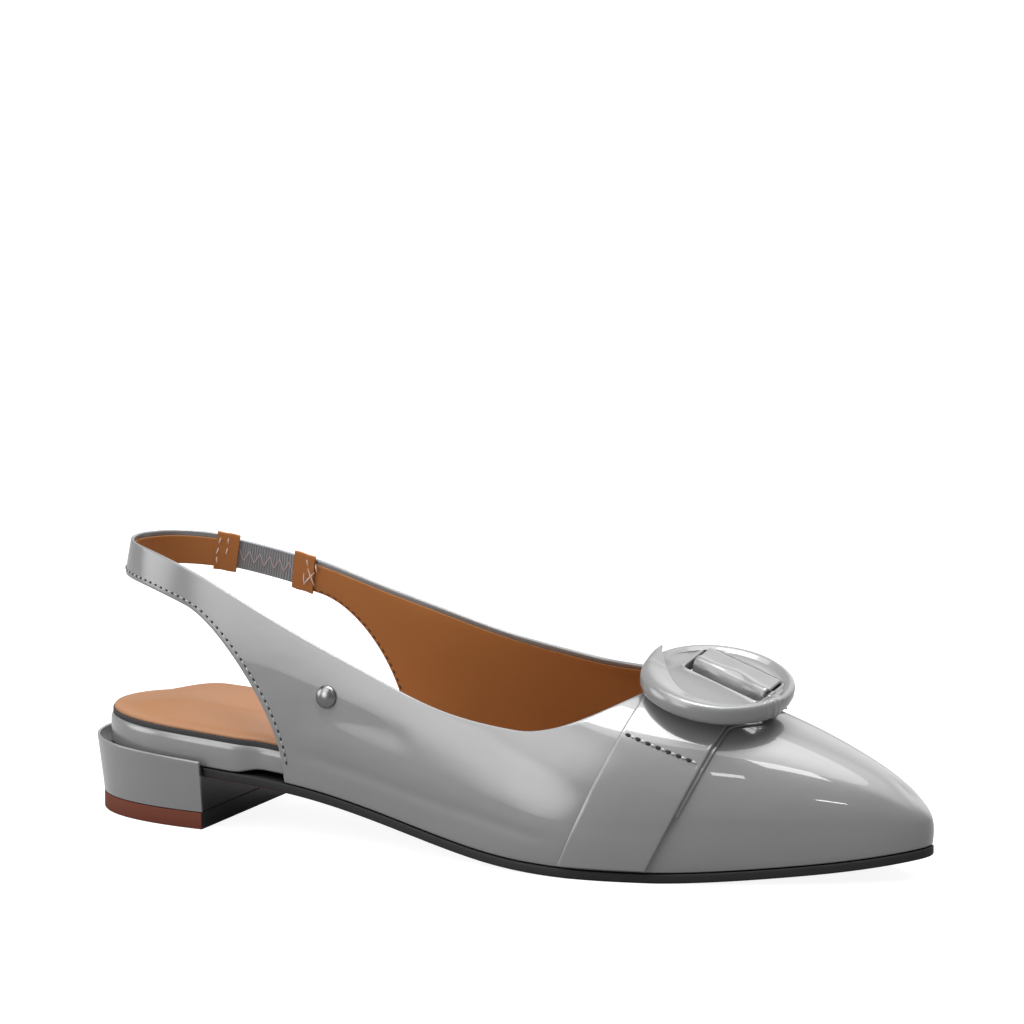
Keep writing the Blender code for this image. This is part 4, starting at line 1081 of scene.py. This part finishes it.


# Near-black of the heel's breast: the breast's own dark tone deepened to black as painted shade; the
# lift's front faces take it as painted shade only.
breast_black_shade = plain_material("heel_breast_painted_shade", (0.018, 0.018, 0.020), 0.35)[0]
points, faces = stacked(*squared_front(outline_layers(heel_rows, block_profile)), HEEL_ACROSS)
block = make_piece("heel_core", points, faces, [breast_black_shade], CREASE_ANGLE)

cover_rows = np.concatenate([heel_rows, LOOP - heel_rows[::-1][1:]])
foot_x = foot_line(cover_rows)[0]
levels = np.linspace(0, 1, COVER_LEVELS)
ground = LIFT_THICK + CLEAR
rim = sole_line(foot_x) + HEEL_RIM
height = ground + (rim - ground)[:, None] * levels
outset = CLEAR + HEEL_PROUD - HEEL_TAPER * (1 - levels)[None, :] + 0 * height
x, y = foot_line(cover_rows[:, None] + 0 * outset, outset)[:2]
x[[0, -1]] = HEEL_LENGTH + COVER_LAP
outer = np.stack([x, y, height], -1) - ORIGIN
slope_along, slope_up = np.gradient(outer, axis=0), np.gradient(outer, axis=1)
normal = unit(np.cross(slope_up, slope_along))
centre = outer.mean((0, 1))
normal = normal * np.sign(np.sum(normal * (outer - centre), -1))[..., None]
inner = outer - normal * COVER_THICK
top_bead = bead(outer[:, -1], outer[:, -2], normal[:, -1], COVER_THICK / 2)
low_bead = bead(outer[:, 0], outer[:, 1], normal[:, 0], COVER_THICK / 2, FOOT_STEPS) + [0, 0, CLEAR]
walls = np.concatenate([outer, top_bead, inner[:, ::-1], low_bead[:, ::-1], outer[:, :1]], 1)
index = np.arange(walls.shape[0] * walls.shape[1]).reshape(walls.shape[:2])
faces = [*quads(index)]
for end in (0, -1):
    faces += end_faces(index[end], COVER_LEVELS, EDGE_STEPS, FOOT_STEPS)
cover = make_piece("heel_cover", walls.reshape(-1, 3), faces, [patent], CREASE_ANGLE)
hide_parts("heel_block")

lift_rubber, lift_shader = leather("lift_rubber", (0.135, 0.034, 0.018), 0.6, 0.25, 0.15,
                                   (90.0, 0.3, 1500.0, 0.2), 0.0002)
lift_shader.inputs["Specular IOR Level"].default_value = 0.2
points, faces = stacked(*squared_front(outline_layers(heel_rows, lift_profile)), HEEL_ACROSS)
lift = make_piece("top_lift_rubber", points, faces, [lift_rubber, breast_black_shade], CREASE_ANGLE)
# The lift's faces at the breast take the near-black material: painted shade on the red-brown rubber.
centres = np.zeros(len(lift.data.polygons) * 3)
lift.data.polygons.foreach_get("center", centres)
painted_shade_front = (centres.reshape(-1, 3)[:, 0] > HEEL_LENGTH - ORIGIN[0] - BREAST_DEPTH).astype(np.int32)
lift.data.polygons.foreach_set("material_index", painted_shade_front)
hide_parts("top_lift")


# Outsole. One moulded rubber sheet cemented on from the heel breast to the toe. Its edge is inked
# dark grey, and its underside is red-brown with a fine grain.
SOLE_PROUD = 0.0003
SOLE_FOOT_ROUND, SOLE_TOP_ROUND = 0.0006, 0.0003
SOLE_ACROSS = 15
FACING_DOWN = -0.75     # faces whose normal points this far down show the tread


def sole_profile(x, side):
    """Side of the outsole: a clear step under the upper, rounded at the ground."""
    low = sole_line(x) - SOLE_THICK
    return rounded(low, sole_line(x) - CLEAR, SOLE_FOOT_ROUND, SOLE_TOP_ROUND, -SOLE_PROUD, 5)


sole_rows = np.concatenate([np.linspace(0, 1, 40)[:-1]**1.5,
                            np.linspace(1, front_row(HEEL_LENGTH + 2 * CLEAR), 160)])
sole_dark, sole_dark_shader = plain_material("sole_edge", (0.018, 0.017, 0.018), 0.6)
sole_dark_shader.inputs["Specular IOR Level"].default_value = 0.2
sole_brown = leather("sole_tread", (0.175, 0.046, 0.030), 0.6, 0.3, 0.1,
                     (120.0, 0.3, 1200.0, 0.3), 0.0003)[0]
points, faces = stacked(*outline_layers(sole_rows, sole_profile), SOLE_ACROSS)
sole = make_piece("outsole_sheet", points, faces, [sole_dark, sole_brown], CREASE_ANGLE)
normals = np.zeros(len(sole.data.polygons) * 3)
sole.data.polygons.foreach_get("normal", normals)
under = (normals.reshape(-1, 3)[:, 2] < FACING_DOWN).astype(np.int32)
sole.data.polygons.foreach_set("material_index", under)
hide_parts("outsole")


# Buckle. A round, dished plate covered in patent with a window and a bar, and on its near side a
# padded crescent whose pointed tips lie over the plate. It is sewn down and doesn't move.
BUCKLE_RADIUS = 0.0222
BUCKLE_THICK = 0.0042
BUCKLE_CENTRE = np.array([0.1996, -0.0045, 0.0528]) - ORIGIN
BUCKLE_TILT = (0.186, -0.196)
BUCKLE_TURN = np.radians(-16.0)
WINDOW_LENGTH = 0.0270
WINDOW_NEAR, BAR_NEAR, WINDOW_FAR = -0.0025, 0.0035, 0.0138
BAR_TOP = 0.0008
FLAT_END = 0.0010

buckle_up = np.array([*BUCKLE_TILT, np.sqrt(1 - BUCKLE_TILT[0]**2 - BUCKLE_TILT[1]**2)])
buckle_level = unit(np.cross([0, 1, 0], buckle_up))
buckle_along = (np.cos(BUCKLE_TURN) * buckle_level
                + np.sin(BUCKLE_TURN) * np.cross(buckle_up, buckle_level))
buckle_across = np.cross(buckle_up, buckle_along)
buckle_axes = np.stack([buckle_along, buckle_across, buckle_up])


def on_buckle(along, across, up):
    """Row frame point of a place given along, across and above the buckle's middle; the end
    towards the toe is drawn in by a smooth step to the fourth power."""
    along = along - FLAT_END * ease(along / BUCKLE_RADIUS)**4
    return BUCKLE_CENTRE + np.stack(np.broadcast_arrays(along, across, up), -1) @ buckle_axes


def rounded_box_edge(turn, half_x, half_y, power):
    """Superellipse radius: one over the root of the summed powers of its two shares."""
    c, s = np.abs(np.cos(turn)) / half_x, np.abs(np.sin(turn)) / half_y
    return (c**power + s**power)**(-1 / power)


BUCKLE_MERGE = 2e-5
WINDOW_CORNER = 16.0    # power of the window's rounded box
WINDOW_AHEAD = 0.0006   # the window's middle lies this far towards the toe
WINDOW_LEAN = -0.26     # its ends lean back by this share of the way across
WINDOW_SPARE = 0.0009   # gap left at each end of the band
RIM_INNER = 0.845       # share of the radius that the window stays within
window_middle = (WINDOW_NEAR + WINDOW_FAR) / 2
window_half = (WINDOW_FAR - WINDOW_NEAR) / 2
BUCKLE_STEPS = 360
turn = np.linspace(0, 2 * np.pi, BUCKLE_STEPS + 1)[:-1]
half = BUCKLE_THICK / 2
# Rim, from under the plate over its top to the dish: shares of the radius and of half the thickness
rim_profile = np.array([
    (0.955, -1.0), (0.980, -0.90), (0.998, -0.50), (1.002, 0.0), (0.998, 0.40), (0.985, 0.72),
    (0.965, 0.92), (0.940, 1.00), (0.915, 0.97), (0.895, 0.88), (0.875, 0.76), (0.850, 0.68)])
rim_x = np.cos(turn)[None, :] * rim_profile[:, :1] * BUCKLE_RADIUS
rim_y = np.sin(turn)[None, :] * rim_profile[:, :1] * BUCKLE_RADIUS
rim_z = np.broadcast_to(rim_profile[:, 1:] * half, rim_x.shape)
fill = np.linspace(0, 1, 20)[1:-1, None]
# Lip of the window, from the plate down to its underside, in the same shares
lip = np.array([(1.070, 0.98), (1.040, 1.04), (1.014, 0.98), (1.000, 0.72), (0.998, 0.30),
                (1.000, -0.60), (1.020, -1.00)])
window_reach = rounded_box_edge(turn, WINDOW_LENGTH / 2 + WINDOW_SPARE, window_half,
                                WINDOW_CORNER)
edge_y = window_middle + np.sin(turn) * window_reach * lip[:, :1]
edge_x = (WINDOW_AHEAD + np.cos(turn) * window_reach * lip[:, :1]
          + WINDOW_LEAN * (edge_y - window_middle))
inside = np.minimum(1, RIM_INNER * BUCKLE_RADIUS / np.hypot(edge_x, edge_y))
edge_x, edge_y = edge_x * inside, edge_y * inside
plate_x = rim_x[-1] * (1 - fill) + edge_x[0] * fill
plate_y = rim_y[-1] * (1 - fill) + edge_y[0] * fill
# Dish, in half thicknesses: it sinks midway between rim and window, and its near side lies lower
# and swells up to the lip
near_side = ease((-plate_y - 0.001) / 0.004)
hollow = 0.62 + 0.10 * fill**2 - 0.12 * np.sin(np.pi * fill)
swell = -0.22 + 0.10 * np.sin(np.pi * fill)**2 + 0.34 * fill**3
plate_z = half * (hollow + near_side * swell)
edge_near = ease((-edge_y - 0.001) / 0.001) * (lip[:, 1:] > 0)
edge_z = half * lip[:, 1:] * (0.74 + 0.12 * edge_near)
grid_x = np.concatenate([rim_x, plate_x, edge_x, rim_x[:1]])
grid_y = np.concatenate([rim_y, plate_y, edge_y, rim_y[:1]])
grid_z = np.concatenate([rim_z, plate_z, edge_z, rim_z[:1]])
grid_z[-2] = -half
grid = on_buckle(grid_x, grid_y, grid_z)
grid = np.concatenate([grid, grid[:, :1]], 1)
index = np.arange(grid.shape[0] * grid.shape[1]).reshape(grid.shape[:2])
plate = [grid.reshape(-1, 3), [*quads(index)]]

# Crescent: its widths at places round the rim, its pleats and its section
TIP_ANGLES = np.radians((181.0, 371.0))
CRESCENT_TALL = 0.0053
WIDTHS = np.array([
    (181.0, 0.0006), (187.0, 0.0022), (196.0, 0.0048), (208.0, 0.0072), (222.0, 0.0086),
    (245.0, 0.0090), (270.0, 0.0084), (295.0, 0.0074), (320.0, 0.0064), (345.0, 0.0058),
    (362.0, 0.0054), (371.0, 0.0046)])
TIP_FADE, BLUNT_FADE = 0.20, 0.050
PLEATS = ((358.0, 0.022, 0.00022), (351.0, 0.018, 0.00018))
CRESCENT_STEPS = 221
share = np.linspace(0, 1, CRESCENT_STEPS)
swing = TIP_ANGLES[0] + (TIP_ANGLES[1] - TIP_ANGLES[0]) * share
wide = open_curve(np.radians(WIDTHS[:, 0]), WIDTHS[:, 1], swing)
end_left, end_right = ease(share / TIP_FADE), ease((1 - share) / BLUNT_FADE)
fade = np.minimum(end_left, end_right)
pleat = sum(rise * np.exp(-((swing - np.radians(angle)) / width)**2)
            for angle, width, rise in PLEATS)
tall = CRESCENT_TALL * (0.36 + 0.64 * ease(fade * 1.2)) + pleat
outer_reach = BUCKLE_RADIUS + 0.0006 - 0.0006 * (1 - end_left) - 0.0003 * (1 - end_right) + pleat
floor_z = -0.0021 + 0.0030 * (1 - ease(fade * 1.3)) + 0.0012 * (1 - end_left)
section = np.array([(0.02, 0.10), (0.00, 0.30), (0.012, 0.52), (0.045, 0.72), (0.11, 0.88),
                    (0.20, 0.97), (0.31, 1.00), (0.44, 0.985), (0.58, 0.93), (0.72, 0.85),
                    (0.85, 0.80), (0.94, 0.77), (0.985, 0.73), (1.00, 0.66), (0.99, 0.40),
                    (0.94, 0.12), (0.80, 0.00), (0.45, -0.01), (0.10, 0.00), (0.02, 0.10)])
reach = outer_reach[:, None] - wide[:, None] * section[:, 0]
lift_z = floor_z[:, None] + tall[:, None] * section[:, 1]
crescent = on_buckle(np.cos(swing)[:, None] * reach, np.sin(swing)[:, None] * reach, lift_z)
index = np.arange(crescent.shape[0] * crescent.shape[1]).reshape(crescent.shape[:2])
flat_ends = [index[0, :-1][::-1], index[-1, :-1]]
crescent = [crescent.reshape(-1, 3), [*quads(index)] + flat_ends]

offset = len(plate[0])
points = np.concatenate([plate[0], crescent[0]])
faces = plate[1] + [face + offset for face in crescent[1]]
buckle = make_piece("round_buckle", points, faces, [patent], CREASE_ANGLE, BUCKLE_MERGE)
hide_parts("buckle")


# Band. A folded strip of the same patent crosses the vamp from sole to sole, gathers under the
# buckle and rises over its bar; a second, shorter ply shows ahead of its front edge.
BAND_REAR = (5.49, 4.84)
BAND_FRONT = (4.56, 3.92)
BAND_SWING = 2.6
BAND_GATHER = (0.0010, 0.0095, 0.0250)
GATHER_STEPS = 2        # times the rows are moved towards their place on the last
BAND_THICK = 0.0011
BAND_DIVE = 0.0022      # the band goes down behind the bar over this distance
BAND_LATE = 0.0024      # its near face starts to rise this far past the window's near edge
BAND_LIFT = CLEAR + 0.0003
BAND_COLUMNS = 36
BAND_EDGE_STEPS = 5
PLY_TRAVEL = (0.20, 0.93)
PLY_WIDTH = (0.80, 1.055)
PLY_LIFT, PLY_THICK = CLEAR - 0.0001, 0.0005


def band_base(travel, width, lift):
    """Underside of the band: travel runs 0 to 2 from the lateral to the medial foot, width 0 to
    1 from the rear to the front edge. It follows the last, gathers to the window's length, each
    row moved by the distance still missing over its pitch, and rises over the bar."""
    travel, width = np.broadcast_arrays(travel, width)
    share = np.where(travel <= 1, travel, 2 - travel)
    swing = (1 - share)**BAND_SWING
    rear = BAND_REAR[1] + (BAND_REAR[0] - BAND_REAR[1]) * swing
    front = BAND_FRONT[1] + (BAND_FRONT[0] - BAND_FRONT[1]) * swing
    rows = rear + (front - rear) * width
    turned = np.where(travel <= 1, rows, LOOP - rows)

    def place(turned):
        """The rows' points in the buckle's axes."""
        base = last_point(turned, share) + outward(turned, share) * lift
        return (base - BUCKLE_CENTRE) @ buckle_axes.T

    local = place(turned)
    slack = BAND_GATHER[1] - BAND_GATHER[0]
    gather = (ease((local[..., 1] + BAND_GATHER[1]) / slack)
              * ease((BAND_GATHER[2] - local[..., 1]) / slack))
    aim = (WINDOW_AHEAD + (width - 0.5) * (WINDOW_LENGTH - 4 * CLEAR)
           + WINDOW_LEAN * (local[..., 1] - window_middle))
    aim = local[..., 0] + gather * (aim - local[..., 0])
    small = 1e-3
    for step in range(GATHER_STEPS):
        pitch = (place(turned + small) - place(turned - small))[..., 0] / (2 * small)
        turned = turned + (aim - place(turned)[..., 0]) / pitch
    local = place(turned)
    near_edge, far_edge = WINDOW_NEAR + CLEAR, WINDOW_FAR - CLEAR
    rise = ease((local[..., 1] - near_edge - BAND_LATE) / (BAR_NEAR - near_edge - BAND_LATE))
    fall = ease((far_edge - local[..., 1]) / BAND_DIVE)
    climb = (BAR_TOP + CLEAR + lift - local[..., 2]) * rise * fall
    return BUCKLE_CENTRE + local @ buckle_axes + climb[..., None] * buckle_up


def ribbon(travel, width, lift, thick, ripple):
    """Closed strip with half round long edges: outer and inner faces joined by beads."""
    inner = band_base(travel[:, None], width[None, :], lift)
    normal = unit(np.cross(np.gradient(inner, axis=1), np.gradient(inner, axis=0)))
    inner = inner + normal * ripple(inner)[..., None]
    outer = inner + normal * thick
    front = bead(outer[:, -1], outer[:, -2], normal[:, -1], thick / 2, BAND_EDGE_STEPS)
    rear = bead(outer[:, 0], outer[:, 1], normal[:, 0], thick / 2, BAND_EDGE_STEPS)
    walls = np.concatenate([outer, front, inner[:, ::-1], rear[:, ::-1], outer[:, :1]], 1)
    index = np.arange(walls.shape[0] * walls.shape[1]).reshape(walls.shape[:2])
    faces = [*quads(index)]
    columns = width.size
    inner_start, inner_end = columns + BAND_EDGE_STEPS, 2 * columns + BAND_EDGE_STEPS
    for end in (0, -1):
        ring = index[end]
        faces += [*quads(np.stack([ring[:columns], ring[inner_start:inner_end][::-1]]))]
        faces += [ring[columns - 1:inner_start + 1], ring[inner_end - 1:]]
    return walls.reshape(-1, 3), faces


def folds(point):
    """Small waves where the band is pulled over the bar, a Gaussian wide, and one crest along it,
    a Gaussian of the distance to a wavy line."""
    local = (point - BUCKLE_CENTRE) @ buckle_axes.T
    over = np.exp(-((local[..., 1] - 0.006) / 0.0040)**2)
    wave = np.sin(local[..., 0] / 0.0021 + 1.1 * np.sin(local[..., 0] / 0.0052))
    crest = local[..., 1] - 0.0042 - 0.0007 * np.sin(local[..., 0] / 0.0034 + 0.8)
    return 0.00007 * over * wave + 0.00060 * np.exp(-(crest / 0.0012)**2) * (local[..., 2] > 0)


# Stations along the band, closer where it passes over the buckle
BAND_TRAVEL = (0.012, 0.75, 1.25, 1.988)
travel = np.concatenate([np.linspace(*BAND_TRAVEL[:2], 90)[:-1],
                         np.linspace(*BAND_TRAVEL[1:3], 160)[:-1],
                         np.linspace(*BAND_TRAVEL[2:], 90)])
points, faces = ribbon(travel, np.linspace(0, 1, BAND_COLUMNS), BAND_LIFT, BAND_THICK, folds)
band = make_piece("vamp_band_outer", points, faces, [patent], CREASE_ANGLE)
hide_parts("vamp_band")
points, faces = ribbon(np.linspace(*PLY_TRAVEL, 90), np.linspace(*PLY_WIDTH, 12), PLY_LIFT,
                       PLY_THICK, flat)
ply = make_piece("vamp_band_ply", points, faces, [patent], CREASE_ANGLE)

# Stitch row across the band: its place on the travel falls evenly from the rear to the front edge
ROW_ACROSS = (0.05, 0.985)
ROW_MIDDLE, ROW_FALL = 0.470, 0.078
ROW_PITCH, ROW_STITCH, ROW_THREAD = 0.0032, 0.0016, 0.00034
ROW_RISE, ROW_DIP = 0.00030, 0.0003
ROW_HOLE_LENGTH, ROW_HOLE_RADIUS = 0.0018, 0.00058
across = np.linspace(*ROW_ACROSS, 200)
stitch_rise = ROW_MIDDLE - ROW_FALL * (across - 0.5)
stitch_line = band_base(stitch_rise, across, BAND_LIFT)
ahead = band_base(stitch_rise + 0.005, across, BAND_LIFT)
normal = unit(np.cross(np.gradient(stitch_line, axis=0), ahead - stitch_line))
stitch_line = stitch_line + normal * BAND_THICK
centres, radii, upright, at, up, way = stitch_row(stitch_line, normal, ROW_PITCH, ROW_STITCH,
                                                  ROW_THREAD, ROW_RISE, ROW_DIP)
points, faces = tubes(centres, radii, upright)
waxed_thread = plain_material("waxed_thread", (0.42, 0.42, 0.42), 0.2)[0]
band_thread = make_piece("band_thread", points, faces, [waxed_thread])
# Painted shade of the needle holes across the band.
points, faces = hole_shade_marks(at, up, way, ROW_HOLE_LENGTH, ROW_HOLE_RADIUS)
band_hole_shade = make_piece("band_hole_shade", points, faces, [painted_hole_shade])


# Stud. A small plain domed stud of dark polished metal. Its shank is pressed through the lateral
# quarter and turned over inside.
STUD_RADIUS = 0.0034
STUD_HEIGHT = 0.0016
STUD_ROW, STUD_SHARE = 8.35, 0.24
STUD_SEAT = 0.0001      # its foot stands this far off the leather
STUD_NECK = 0.96
stud_row, stud_share = np.array([STUD_ROW]), np.array([STUD_SHARE])
stud_normal = outward(stud_row, stud_share)[0]
stud_foot = last_point(stud_row, stud_share)[0] + stud_normal * STUD_SEAT
stud_along = unit(np.cross([0, 0, 1], stud_normal))
stud_across = np.cross(stud_normal, stud_along)
rise = np.linspace(0, np.pi / 2, 12)
profile = np.column_stack([np.cos(rise) * STUD_RADIUS, np.sin(rise) * STUD_HEIGHT])
profile = np.vstack([[0, 0], [STUD_RADIUS * STUD_NECK, 0], profile])
turn = np.linspace(0, 2 * np.pi, 49)[:, None, None]
ring = np.cos(turn) * stud_along + np.sin(turn) * stud_across
dome = stud_foot + ring * profile[None, :, :1] + profile[None, :, 1:] * stud_normal
index = np.arange(dome.shape[0] * dome.shape[1]).reshape(dome.shape[:2])
stud_metal = plain_material("stud_metal", (0.20, 0.20, 0.20), 0.22, 1.0)[0]
stud = make_piece("side_stud_dome", dome.reshape(-1, 3), [*quads(index)], [stud_metal], CREASE_ANGLE)
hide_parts("side_stud")
